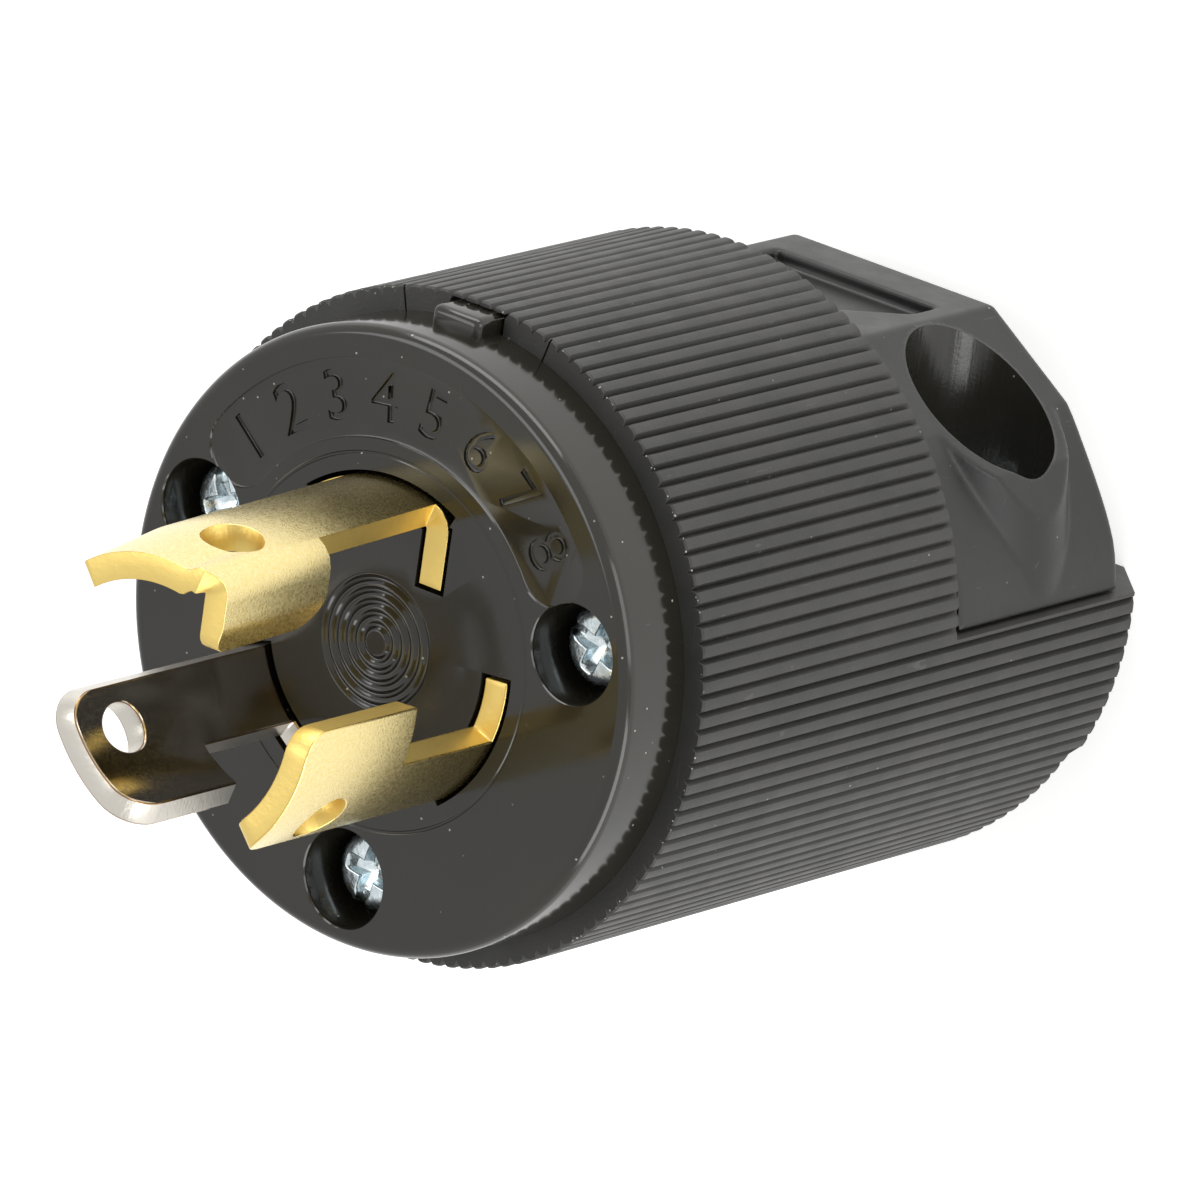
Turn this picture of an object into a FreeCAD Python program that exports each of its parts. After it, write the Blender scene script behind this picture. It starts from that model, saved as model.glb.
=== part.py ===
"""Locking power plug, three blades, 15 A size, standing on its rear end with the blades up.

X runs right and Y towards the smooth clamp jaw, seen from the blade side.
Z runs up from the flat rear end, where the cord enters, to the blade tips.
The origin is the centre of the rear end. Lengths are in millimetres, angles in degrees.
"""
import FreeCAD, Part
import math
import os
from FreeCAD import Vector

os.makedirs("parts", exist_ok=True)

# Barrel of the housing
rim_drop = 4.55
rib_tip_radius = 17.6
rib_depth = 0.42
rib_count = 120
rib_top_share = 0.5
rib_foot_share = 0.76
housing_wall = 1.75
upper_rib_end_height = 17.6
rib_end_round = 0.5
clamp_wall = 2.0

# Rear half of the barrel, below the jaw
ledge_height = 1.3
rear_chamfer = 2.9
relief_depth = 0.9
relief_side_margin = 2.0
relief_start_share = 0.42

# Face cap
cap_setback = 1.3
cap_edge_round = 0.65
spigot_length = 2.4
moulded_clearance = 0.3
ring_boss_radius = 3.3
ring_groove_count = 5
ring_groove_depth = 0.18
band_inner_margin = 1.9
band_outer_margin = 1.7
band_half_angle = 55.0
band_depth = 0.12

# Key lug on the cap wall and its notch in the housing rim
key_width = 3.2
key_tip_setback = 0.4
key_root_depth = 1.2
key_drop = 2.8
key_length = 3.2
key_round = 0.3
notch_clearance = 0.2

# Blades
blade_circle_share = 0.4886
blade_sheet = 1.4
current_blade_length = 15.5
ground_blade_length = 17.8
hot_centre_angle = -24.0
neutral_centre_angle = -134.0
ground_centre_angle = 97.0
current_half_angle = 27.5
ground_ccw_half_angle = 32.0
tail_half_angle = 29.0
tail_setback = 0.9
neck_ccw_offset = 5.8
ground_neck_ccw_offset = 16.0
current_neck_length = 7.0
ground_neck_length = 9.1
tip_corner_round = 1.4
neutral_corner_round = 2.2
ground_corner_round = 0.5
hot_tip_slope = 0.13
neutral_tip_slope = -0.1
tip_hole_radius = 1.4
hot_hole_setback = 4.2
neutral_hole_setback = 3.6
ground_hole_setback = 4.5
hot_hole_cw_offset = 13.5
neutral_hole_cw_offset = 9.5
ground_hole_cw_offset = 10.5
leg_outer_x = 3.6
leg_inner_y = 3.9
leg_bend_round = 1.3
leg_corner_round = 2.0
leg_tip_corner_round = 0.8
leg_front_setback = 0.7
leg_bevel_width = 1.4
leg_bevel_depth = 0.35
ground_lean = 0.03
coined_length = 5.0
coined_lean = 0.11
coined_start_angle = 79.0
leg_gap_rise = 0.35
leg_root_drop = 0.2
leg_root_angle = 4.0
slot_clearance = 0.25

# Terminal body and cover inside the housing
body_clearance = 0.3
cover_gap = 0.45
terminal_body_height = 11.5
chamber_side_clearance = 0.58
terminal_cover_thickness = 2.8
wire_hole_radius = 2.1
wire_funnel_radius = 3.0
wire_funnel_share = 0.6
wire_gap = 1.6
clamp_plate_size = 7.0
clamp_plate_thickness = 1.3
clamp_plate_corner_round = 0.8
wire_groove_radius = 0.9
wire_groove_depth = 0.4
wire_groove_offset = 2.7

# Terminal screws
terminal_screw_radius = 1.7
terminal_head_radius = 2.7
terminal_head_height = 1.7
terminal_screw_drop_share = 0.487
hole_clearance = 0.25
thread_clearance = 0.05

# Assembly screws in the face
assembly_screw_angles = (15.0, 165.0, 270.0)
assembly_screw_to_wall = 2.68
face_well_radius = 2.55
face_well_depth = 3.5
assembly_head_radius = 2.15
assembly_head_height = 1.5
assembly_screw_radius = 1.3
assembly_screw_turns = (20.0, 65.0, 100.0)
screw_tip_gap = 1.9
post_radius = 2.9
post_height = 6.0
insert_radius = 2.1
insert_length = 5.0
drive_slot_width = 0.6
drive_depth = 0.7
drive_arm_share = 0.62
clamp_drive_scale = 1.6
clamp_screw_turn = 35.0

# Cord clamp
jaw_side_setback = 1.4
jaw_side_centre_y = -0.4
jaw_top_share = 0.858
jaw_top_width_share = 0.407
jaw_slope_angle = 33.0
jaw_gap = 0.55
jaw_front_gap = 0.3
jaw_chamfer = 3.9
boss_radius = 5.0
recess_depth = 0.8
recess_border = 1.3
recess_start_height = 7.1
recess_corner_height = 9.3
recess_slant_height = 12.2
recess_slant_width = 2.3
channel_to_screw = 3.6
cord_hole_inset = 0.6
grip_ridge_height = 0.5
grip_ridge_half_width = 0.7
grip_ridge_heights = (3.6, 7.2, 10.8)

# Clamp screws and nuts
clamp_screw_inset = 6.6
clamp_screw_z = 10.0
clamp_well_radius = 3.8
clamp_seat_y = 3.6
clamp_head_radius = 3.3
clamp_head_height = 2.3
clamp_screw_radius = 1.7
clamp_screw_length = 12.7
clamp_hole_gap = 0.6
nut_width = 7.0
nut_thickness = 2.6
nut_top_share = 0.62

# Dust shield
shield_post_gap = 0.25
shield_thickness = 1.1
shield_hole_radius = 4.0
shield_lip_height = 1.1
shield_lip_width = 1.3

UP = Vector(0, 0, 1)
ORIGIN = Vector(0, 0, 0)
BEYOND = 2 * rib_tip_radius
MARGIN = 1.0

# Radii that follow from the barrel
rib_root_radius = rib_tip_radius - rib_depth
cavity_radius = rib_root_radius - housing_wall
cap_radius = rib_tip_radius - cap_setback
key_tip_radius = rib_tip_radius - key_tip_setback
blade_outer_radius = rib_tip_radius * blade_circle_share
blade_inner_radius = blade_outer_radius - blade_sheet
band_inner_radius = blade_outer_radius + band_inner_margin
band_outer_radius = cap_radius - band_outer_margin
assembly_circle_radius = cavity_radius - assembly_screw_to_wall
shield_radius = assembly_circle_radius - post_radius - shield_post_gap
jaw_side_radius = rib_tip_radius - jaw_side_setback
jaw_top_y = jaw_side_radius * jaw_top_share
jaw_top_half_width = jaw_side_radius * jaw_top_width_share
clamp_screw_x = rib_tip_radius - clamp_screw_inset
clamp_channel_radius = clamp_screw_x - channel_to_screw
cord_hole_radius = clamp_channel_radius - cord_hole_inset
nut_top_y = -clamp_channel_radius * nut_top_share
chamber_width = 2 * (blade_outer_radius * math.sin(math.radians(tail_half_angle)) + chamber_side_clearance)
chamber_inner_distance = blade_inner_radius * math.cos(math.radians(tail_half_angle)) - body_clearance

# Heights that follow from the stack between the clamp and the face
cavity_floor_height = upper_rib_end_height + clamp_wall
post_top_height = cavity_floor_height + post_height
insert_bottom_height = post_top_height - insert_length
cover_bottom_height = cavity_floor_height + shield_thickness + shield_lip_height + cover_gap
body_bottom_height = cover_bottom_height + terminal_cover_thickness
cap_back_height = body_bottom_height + terminal_body_height
rim_height = cap_back_height + spigot_length
face_height = rim_height + rim_drop
terminal_screw_drop = terminal_body_height * terminal_screw_drop_share
tail_bottom_height = body_bottom_height + tail_setback
assembly_seat_height = face_height - face_well_depth
assembly_screw_length = assembly_seat_height - insert_bottom_height - screw_tip_gap


def polar(radius, angle, height=0.0):
    """Point at a radius and angle round the plug's axis."""
    turn = math.radians(angle)
    return Vector(radius * math.cos(turn), radius * math.sin(turn), height)


def disc(radius, bottom, top):
    """Upright cylinder on the plug's axis."""
    return Part.makeCylinder(radius, top - bottom, Vector(0, 0, bottom), UP)


def post(radius, x, y, bottom, top):
    """Upright cylinder at a point."""
    return Part.makeCylinder(radius, top - bottom, Vector(x, y, bottom), UP)


def block(x0, x1, y0, y1, z0, z1):
    """Box between two corners."""
    return Part.makeBox(x1 - x0, y1 - y0, z1 - z0, Vector(x0, y0, z0))


def turned(shape, angle):
    """Copy of a shape turned about the plug's axis."""
    copy = shape.copy()
    copy.rotate(ORIGIN, UP, angle)
    return copy


def revolve(points):
    """Solid of revolution about the plug's axis from radius and height pairs."""
    corners = [Vector(r, 0, z) for r, z in points]
    face = Part.Face(Part.makePolygon(corners + corners[:1]))
    return face.revolve(ORIGIN, UP, 360)


def sector(inner, outer, start, end, bottom, top):
    """Annular sector between two radii and two angles."""
    middle = (start + end) / 2
    edges = [
        Part.Arc(polar(outer, start), polar(outer, middle), polar(outer, end)).toShape(),
        Part.makeLine(polar(outer, end), polar(inner, end)),
        Part.Arc(polar(inner, end), polar(inner, middle), polar(inner, start)).toShape(),
        Part.makeLine(polar(inner, start), polar(outer, start)),
    ]
    plate = Part.Face(Part.Wire(edges)).extrude(Vector(0, 0, top - bottom))
    plate.translate(Vector(0, 0, bottom))
    return plate


def pan_head(radius, height):
    """Pan head with a rounded rim, its flat underside at the origin."""
    head = Part.makeCylinder(radius, height)
    rim = [edge for edge in head.Edges if edge.BoundBox.ZMin > height / 2 and len(edge.Vertexes) == 1]
    return head.makeFillet(height * 0.45, rim)


def slotted_screw(head_radius, head_height, shank_radius, shank_length, slot_width, slot_depth):
    """Screw standing on its tip, its seat at the origin, with a slot and a short cross slot."""
    head = pan_head(head_radius, head_height)
    tip = shank_radius / 2
    shank = Part.makeCylinder(shank_radius, shank_length - tip, Vector(0, 0, tip - shank_length))
    point = Part.makeCone(shank_radius - tip, shank_radius, tip, Vector(0, 0, -shank_length))
    screw = head.fuse([shank, point])
    reach = 2 * head_radius
    slot = block(-reach, reach, -slot_width / 2, slot_width / 2, head_height - slot_depth, head_height + MARGIN)
    screw = screw.cut(slot)
    arm = head_radius * drive_arm_share
    recess = block(-slot_width / 2, slot_width / 2, -arm, arm, head_height - slot_depth, head_height + MARGIN)
    return screw.cut(recess).removeSplitter()


def rib_outline(tip_radius, root_radius):
    """Closed wire of the ribbed barrel, one flat-topped ridge for each step."""
    pitch = 360 / rib_count
    half_top = pitch * rib_top_share / 2
    half_foot = pitch * rib_foot_share / 2
    points = []
    for number in range(rib_count):
        centre = (number + 0.5) * pitch
        points.append(polar(root_radius, centre - half_foot))
        points.append(polar(tip_radius, centre - half_top))
        points.append(polar(tip_radius, centre + half_top))
        points.append(polar(root_radius, centre + half_foot))
    return Part.makePolygon(points + points[:1])


def well_positions():
    """Places of the three assembly screws, as x and y pairs."""
    places = []
    for angle in assembly_screw_angles:
        spot = polar(assembly_circle_radius, angle)
        places.append((spot.x, spot.y))
    return places


# Housing: ribbed barrel with the lower clamp half
def grip_ridges(radius, side):
    """Half rings that bite the cord, on the jaw side (1) or the ledge side (-1)."""
    rings = []
    for height in grip_ridge_heights:
        ring = revolve([
            (radius + MARGIN, height - grip_ridge_half_width),
            (radius, height - grip_ridge_half_width),
            (radius - grip_ridge_height, height),
            (radius, height + grip_ridge_half_width),
            (radius + MARGIN, height + grip_ridge_half_width),
        ])
        rings.append(ring)
    reach = 2 * radius
    floor = ledge_height + jaw_gap if side > 0 else -reach
    ceiling = reach if side > 0 else ledge_height
    half = block(-reach, reach, floor, ceiling, 0, upper_rib_end_height)
    return [ring.common(half) for ring in rings]


def nut_pocket(side, clearance):
    """Square pocket that opens into the cord channel, or the nut's own block without clearance."""
    half = nut_width / 2 + clearance
    inner = clamp_screw_x - half if clearance == 0 else clamp_channel_radius / 2
    outer = clamp_screw_x + half
    low = nut_top_y - nut_thickness - clearance
    x0, x1 = (inner, outer) if side > 0 else (-outer, -inner)
    return block(x0, x1, low, nut_top_y, clamp_screw_z - half, clamp_screw_z + half)


def ribbed_housing():
    barrel = Part.Face(rib_outline(rib_tip_radius, rib_root_radius)).extrude(Vector(0, 0, rim_height))
    foot_radius = rib_tip_radius - rear_chamfer
    envelope = revolve([
        (0, 0),
        (foot_radius, 0),
        (rib_tip_radius, rear_chamfer),
        (BEYOND, rear_chamfer),
        (BEYOND, rim_height),
        (0, rim_height),
    ])
    housing = barrel.common(envelope)

    # Open cavity for the terminal body, with a post for each assembly screw
    cavity = disc(cavity_radius, cavity_floor_height, rim_height + MARGIN)
    for x, y in well_positions():
        cavity = cavity.cut(post(post_radius, x, y, cavity_floor_height, post_top_height))
    housing = housing.cut(cavity)

    # Space for the jaw above the ledge, and the cord channel through the rear
    jaw_space = block(-BEYOND, BEYOND, ledge_height, BEYOND, -MARGIN, upper_rib_end_height)
    cord_channel = disc(clamp_channel_radius, -MARGIN, upper_rib_end_height)
    cord_hole = disc(cord_hole_radius, -MARGIN, cavity_floor_height + MARGIN)
    housing = housing.cut([jaw_space, cord_channel, cord_hole])
    housing = housing.fuse(grip_ridges(clamp_channel_radius, -1))

    # Rear ends of the upper ribs run out at a slant
    run_out = revolve([
        (rib_tip_radius - rib_end_round, upper_rib_end_height),
        (rib_tip_radius, upper_rib_end_height + rib_end_round),
        (BEYOND, upper_rib_end_height + rib_end_round),
        (BEYOND, upper_rib_end_height),
    ])
    above = block(-BEYOND, BEYOND, ledge_height, BEYOND, upper_rib_end_height, rim_height)
    housing = housing.cut(run_out.common(above))

    # Relief across the underside of the rear edge
    half = rib_tip_radius - relief_side_margin
    relief = block(-half, half, -BEYOND, -rib_tip_radius * relief_start_share, -MARGIN, relief_depth + rear_chamfer)
    keep = revolve([
        (0, -2 * MARGIN),
        (foot_radius - 0.01, -2 * MARGIN),
        (foot_radius - 0.01, relief_depth - 0.01),
        (rib_tip_radius, rear_chamfer + relief_depth),
        (rib_tip_radius, 2 * rear_chamfer),
        (0, 2 * rear_chamfer),
    ])
    housing = housing.cut(relief.cut(keep))

    # Clamp screw holes and nut pockets in the lower half
    hole_bottom = clamp_seat_y - clamp_screw_length - clamp_hole_gap
    for side in (1, -1):
        hole = Part.makeCylinder(clamp_screw_radius + hole_clearance, clamp_seat_y - hole_bottom,
                                 Vector(side * clamp_screw_x, hole_bottom, clamp_screw_z), Vector(0, 1, 0))
        housing = housing.cut([hole, nut_pocket(side, moulded_clearance)])

    # Blind holes for the threaded inserts
    for x, y in well_positions():
        housing = housing.cut(post(insert_radius, x, y, insert_bottom_height, post_top_height + MARGIN))

    # Notch in the rim for the key lug
    half = key_width / 2 + notch_clearance
    bottom = face_height - key_drop - key_length - notch_clearance
    notch = block(-half, half, cavity_radius - MARGIN, BEYOND, bottom, rim_height + MARGIN)
    return housing.cut(notch).removeSplitter()


# Face cap
def blade_slots():
    """Prisms that cut the three blade slots through the cap."""
    gap_angle = math.degrees(slot_clearance / blade_outer_radius)
    inner = blade_inner_radius - slot_clearance
    outer = blade_outer_radius + slot_clearance
    low = cap_back_height - MARGIN
    high = face_height + MARGIN
    slots = []
    for centre in (hot_centre_angle, neutral_centre_angle):
        half = current_half_angle + gap_angle
        slots.append(sector(inner, outer, centre - half, centre + half, low, high))

    # The ground slot has a straight branch for the bent leg
    leg_end = leg_top_angle()
    arc = sector(inner, outer, leg_end - gap_angle, ground_centre_angle + ground_ccw_half_angle + gap_angle, low, high)
    leg = block(leg_outer_x - blade_sheet - slot_clearance, leg_outer_x + slot_clearance,
                leg_inner_y - slot_clearance, blade_inner_radius, low, high)
    slots.append(arc.fuse(leg))
    return slots


def leg_top_angle():
    """Angle at which the ground blade's arc meets the outer face of its leg."""
    return math.degrees(math.acos(leg_outer_x / blade_outer_radius))


def band_recess():
    """Shallow curved band with round ends for the rating marks."""
    middle_radius = (band_inner_radius + band_outer_radius) / 2
    half_height = (band_outer_radius - band_inner_radius) / 2
    bottom = face_height - band_depth
    top = face_height + MARGIN
    first = 90 - band_half_angle
    last = 90 + band_half_angle
    band = sector(band_inner_radius, band_outer_radius, first, last, bottom, top)
    ends = []
    for angle in (first, last):
        spot = polar(middle_radius, angle)
        ends.append(post(half_height, spot.x, spot.y, bottom, top))
    return band.fuse(ends)


def ring_grooves():
    """Concentric V grooves of the ring boss at the centre of the face."""
    step = ring_boss_radius / (ring_groove_count + 0.5)
    grooves = []
    for number in range(1, ring_groove_count + 1):
        radius = step * (number + 0.5)
        half = step * 0.32
        grooves.append(revolve([
            (radius - half, face_height + 0.01),
            (radius, face_height - ring_groove_depth),
            (radius + half, face_height + 0.01),
        ]))
    return grooves


def key_lug():
    """Lug on the cap wall that drops into the notch of the housing rim."""
    top = face_height - key_drop
    lug = block(-key_width / 2, key_width / 2, cap_radius - key_root_depth, key_tip_radius, top - key_length, top)
    outer = [edge for edge in lug.Edges
             if edge.BoundBox.YMin > key_tip_radius - 0.01 and edge.BoundBox.ZMax > top - 0.01]
    return lug.makeFillet(key_round, outer)


def face_cap():
    plate = disc(cap_radius, rim_height, face_height)
    edge = [item for item in plate.Edges if item.BoundBox.ZMin > face_height - 0.01]
    plate = plate.makeFillet(cap_edge_round, edge)
    spigot = disc(cavity_radius - body_clearance, cap_back_height, rim_height)
    cap = plate.fuse([spigot, key_lug()])
    cap = cap.cut(blade_slots())
    for x, y in well_positions():
        well = post(face_well_radius, x, y, assembly_seat_height, face_height + MARGIN)
        hole = post(assembly_screw_radius + hole_clearance, x, y, cap_back_height - MARGIN, face_height)
        cap = cap.cut([well, hole])
    cap = cap.cut(band_recess())
    cap = cap.cut(ring_grooves())
    return cap.removeSplitter()


# Blades
def punched_outline(length, neck_ccw, neck_length, tip_slope):
    """Side view of a blade, drawn flat: u runs counter-clockwise, v up from the tail's foot.

    The notch that locks the blade lies on the counter-clockwise side, just above the face.
    """
    shoulder = face_height + neck_length
    tip = face_height + length
    return [
        (-BEYOND, tail_bottom_height), (BEYOND, tail_bottom_height), (BEYOND, face_height),
        (neck_ccw, face_height), (neck_ccw, shoulder), (BEYOND, shoulder),
        (BEYOND, tip - tip_slope * BEYOND), (-BEYOND, tip + tip_slope * BEYOND),
    ]


def blade_window(points):
    """Prism of a side view outline, running out along +X."""
    corners = [Vector(0, u, v) for u, v in points]
    face = Part.Face(Part.makePolygon(corners + corners[:1]))
    return face.extrude(Vector(BEYOND, 0, 0))


def rounded_tip_corner(edge_u, inward, tip, radius):
    """Piece that trims one tip corner of a blade to a radius."""
    centre_u = edge_u + inward * radius
    u0, u1 = sorted((edge_u - inward * radius, centre_u))
    corner = block(0, BEYOND, u0, u1, tip - radius, tip + MARGIN)
    return corner.cut(Part.makeCylinder(radius, BEYOND, Vector(0, centre_u, tip - radius), Vector(1, 0, 0)))


def finish_blade(blank, neck_ccw_angle, neck_length, length, tip_slope, hole_place, trims):
    """Cut the notch, the holes and the corner rounds into a blank set on +X."""
    neck_u = blade_inner_radius * math.sin(math.radians(neck_ccw_angle))
    blade = blank.common(blade_window(punched_outline(length, neck_u, neck_length, tip_slope)))
    setback, cw_offset = hole_place
    hole = Part.makeCylinder(tip_hole_radius, BEYOND, Vector(0, 0, face_height + length - setback),
                             polar(1, -cw_offset))
    return blade.cut(trims + [hole, terminal_hole(thread_clearance)]).removeSplitter()


def terminal_hole(clearance):
    """Radial cylinder of a terminal screw, on +X."""
    return Part.makeCylinder(terminal_screw_radius + clearance, BEYOND,
                             Vector(0, 0, cap_back_height - terminal_screw_drop), Vector(1, 0, 0))


def leaned(shape, start_height, share):
    """Copy of a blade on +X whose part above a height leans inwards by a share of its rise."""
    slant = FreeCAD.Matrix()
    slant.A13 = -share
    slant.A14 = share * start_height
    lower = shape.common(disc(BEYOND, 0, start_height))
    upper = shape.common(disc(BEYOND, start_height, start_height + BEYOND))
    return lower.fuse(upper.transformGeometry(slant))


def current_blade(centre, tip_slope, hole_place, cw_corner_round):
    """Hot or neutral blade: an arc of sheet with one locking notch and a shouldered tail."""
    tip = face_height + current_blade_length
    half = current_half_angle
    edge_u = blade_inner_radius * math.sin(math.radians(half))
    rise = abs(tip_slope) * edge_u
    blank = sector(blade_inner_radius, blade_outer_radius, -half, half, cap_back_height, tip + 2 * rise)
    tail = sector(blade_inner_radius, blade_outer_radius, -tail_half_angle, tail_half_angle,
                  tail_bottom_height, cap_back_height)
    trims = [
        rounded_tip_corner(-edge_u, 1, tip + tip_slope * edge_u, cw_corner_round),
        rounded_tip_corner(edge_u, -1, tip - tip_slope * edge_u, tip_corner_round),
    ]
    blade = finish_blade(blank.fuse(tail), neck_ccw_offset, current_neck_length, current_blade_length,
                         tip_slope, hole_place, trims)
    return turned(blade, centre)


def leg_corner(low, high, centre_z, radius):
    """Piece that trims one corner of the ground blade's leg to a radius."""
    corner = block(0, 2 * leg_outer_x, leg_inner_y - MARGIN, leg_inner_y + radius, low, high)
    bore = Part.makeCylinder(radius, 2 * leg_outer_x, Vector(0, leg_inner_y + radius, centre_z), Vector(1, 0, 0))
    return corner.cut(bore)


def ground_blade():
    """Ground blade: longer, with a leg bent inwards on its clockwise side."""
    tip = face_height + ground_blade_length
    leg_end = leg_top_angle()
    arc = sector(blade_inner_radius, blade_outer_radius, leg_end - leg_root_angle,
                 ground_centre_angle + ground_ccw_half_angle, cap_back_height, tip)
    beyond = block(leg_outer_x, BEYOND, 0, BEYOND, cap_back_height - MARGIN, tip + MARGIN)
    arc = arc.cut(beyond)
    leg = block(leg_outer_x - blade_sheet, leg_outer_x, leg_inner_y, blade_inner_radius - leg_root_drop,
                cap_back_height, tip)
    hook = arc.fuse(leg).removeSplitter()
    bend = [edge for edge in hook.Edges
            if edge.BoundBox.ZLength > ground_blade_length
            and abs(edge.BoundBox.XMax - leg_outer_x) < 0.01 and edge.BoundBox.YMin > blade_inner_radius - MARGIN]
    hook = hook.makeFillet(leg_bend_round, bend)

    # The leg is cut away beside the neck, and its tip end is set back
    shoulder = face_height + ground_neck_length
    leg_tip = tip - leg_front_setback
    gap = block(0, 2 * leg_outer_x, 0, blade_inner_radius - leg_gap_rise, face_height, shoulder)
    front = block(leg_outer_x - blade_sheet - MARGIN, 2 * leg_outer_x, 0, BEYOND, leg_tip, tip + MARGIN)
    rear_corner = leg_corner(shoulder - MARGIN, shoulder + leg_corner_round, shoulder + leg_corner_round,
                             leg_corner_round)
    tip_start = leg_tip - leg_tip_corner_round
    tip_corner = leg_corner(tip_start, tip + MARGIN, tip_start, leg_tip_corner_round)
    bevel = Part.Face(Part.makePolygon([
        Vector(leg_outer_x, leg_inner_y + leg_bevel_width, 0),
        Vector(leg_outer_x + MARGIN, leg_inner_y, 0),
        Vector(leg_outer_x - leg_bevel_depth, leg_inner_y - 0.01, 0),
        Vector(leg_outer_x, leg_inner_y + leg_bevel_width, 0),
    ])).extrude(Vector(0, 0, tip + MARGIN))
    bevel = bevel.common(disc(BEYOND, shoulder, tip + MARGIN))
    hook = hook.cut([gap, front, rear_corner, tip_corner, bevel])
    hook.rotate(ORIGIN, UP, -ground_centre_angle)
    tail = sector(blade_inner_radius, blade_outer_radius, -tail_half_angle, tail_half_angle,
                  tail_bottom_height, cap_back_height)
    edge_u = blade_inner_radius * math.sin(math.radians(ground_ccw_half_angle))
    trims = [rounded_tip_corner(edge_u, -1, tip, ground_corner_round)]
    blade = finish_blade(hook.fuse(tail), ground_neck_ccw_offset, ground_neck_length, ground_blade_length,
                         0, (ground_hole_setback, ground_hole_cw_offset), trims)

    # The round part of the tip is coined inwards, which leaves a small step beside the leg
    last = ground_ccw_half_angle + tail_half_angle
    round_part = sector(blade_inner_radius - MARGIN, blade_outer_radius + MARGIN,
                        coined_start_angle - ground_centre_angle, last, 0, tip + MARGIN)
    coined = leaned(blade.common(round_part), tip - coined_length, coined_lean)
    blade = coined.fuse(blade.cut(round_part))
    return turned(leaned(blade, face_height, ground_lean), ground_centre_angle)


blade_centres = {
    "ground": ground_centre_angle,
    "hot": hot_centre_angle,
    "neutral": neutral_centre_angle,
}


# Terminals
def plate_distance():
    """Distance of a clamp plate's inner face from the plug's axis."""
    return blade_outer_radius + wire_gap


def terminal_body():
    radius = cavity_radius - body_clearance
    body = disc(radius, body_bottom_height, cap_back_height)
    below = body_bottom_height - MARGIN
    above = cap_back_height + MARGIN
    for centre in blade_centres.values():
        chamber = block(chamber_inner_distance, BEYOND, -chamber_width / 2, chamber_width / 2, below, above)
        body = body.cut(turned(chamber, centre))
    for x, y in well_positions():
        hole = post(assembly_screw_radius + hole_clearance, x, y, below, above)
        recess = post(post_radius + moulded_clearance, x, y, below, post_top_height)
        body = body.cut([hole, recess])
    return body.removeSplitter()


def terminal_cover():
    """Rear plate that closes the chambers, with a funnel for each wire."""
    top = body_bottom_height
    bottom = cover_bottom_height
    cover = disc(cavity_radius - body_clearance, bottom, top)
    wire_distance = blade_outer_radius + wire_gap / 2
    for centre in blade_centres.values():
        spot = polar(wire_distance, centre)
        cover = cover.cut(post(wire_hole_radius, spot.x, spot.y, bottom - MARGIN, top + MARGIN))
        funnel = Part.makeCone(wire_funnel_radius, wire_hole_radius, terminal_cover_thickness * wire_funnel_share,
                               Vector(spot.x, spot.y, bottom), UP)
        cover = cover.cut(funnel)
    for x, y in well_positions():
        cover = cover.cut(post(post_radius + moulded_clearance, x, y, bottom - MARGIN, top + MARGIN))
    return cover.removeSplitter()


def clamp_plate(centre):
    """Square pressure plate with a clearance hole and two shallow wire grooves pressed in."""
    inner = plate_distance()
    half = clamp_plate_size / 2
    middle = cap_back_height - terminal_screw_drop
    plate = block(inner, inner + clamp_plate_thickness, -half, half, middle - half, middle + half)
    corners = [edge for edge in plate.Edges if edge.BoundBox.XLength > clamp_plate_thickness - 0.01]
    plate = plate.makeFillet(clamp_plate_corner_round, corners)
    plate = plate.cut(terminal_hole(hole_clearance))
    for side in (1, -1):
        groove = Part.makeCylinder(wire_groove_radius, 2 * clamp_plate_size,
                                   Vector(inner - wire_groove_radius + wire_groove_depth,
                                          side * wire_groove_offset, middle - clamp_plate_size), UP)
        plate = plate.cut(groove)
    return turned(plate, centre)


def terminal_screw(centre):
    """Screw that draws a clamp plate towards its blade, seated on the plate."""
    seat = plate_distance() + clamp_plate_thickness
    shank = seat - blade_inner_radius
    screw = slotted_screw(terminal_head_radius, terminal_head_height, terminal_screw_radius, shank,
                          drive_slot_width, drive_depth)
    screw.rotate(ORIGIN, Vector(0, 1, 0), 90)
    screw.translate(Vector(seat, 0, cap_back_height - terminal_screw_drop))
    return turned(screw, centre)


# Screws, nuts and inserts
def assembly_screws():
    """Three recessed screws that hold cap, terminal body and housing together."""
    screws = []
    for (x, y), turn in zip(well_positions(), assembly_screw_turns):
        screw = slotted_screw(assembly_head_radius, assembly_head_height, assembly_screw_radius,
                              assembly_screw_length, drive_slot_width, drive_depth)
        screw.rotate(ORIGIN, UP, turn)
        screw.translate(Vector(x, y, assembly_seat_height))
        screws.append(screw)
    return Part.makeCompound(screws)


def assembly_inserts():
    """Threaded inserts pressed into the three housing posts."""
    inserts = []
    for x, y in well_positions():
        sleeve = post(insert_radius, x, y, insert_bottom_height, post_top_height)
        bore = post(assembly_screw_radius + thread_clearance, x, y,
                    insert_bottom_height - MARGIN, post_top_height + MARGIN)
        inserts.append(sleeve.cut(bore))
    return Part.makeCompound(inserts)


def clamp_screws():
    """Two screws that draw the jaw down on the cord."""
    screws = []
    for side in (1, -1):
        screw = slotted_screw(clamp_head_radius, clamp_head_height, clamp_screw_radius, clamp_screw_length,
                              drive_slot_width * clamp_drive_scale, drive_depth * clamp_drive_scale)
        screw.rotate(ORIGIN, UP, clamp_screw_turn * side)
        screw.rotate(ORIGIN, Vector(1, 0, 0), -90)
        screw.translate(Vector(side * clamp_screw_x, clamp_seat_y, clamp_screw_z))
        screws.append(screw)
    return Part.makeCompound(screws)


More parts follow.
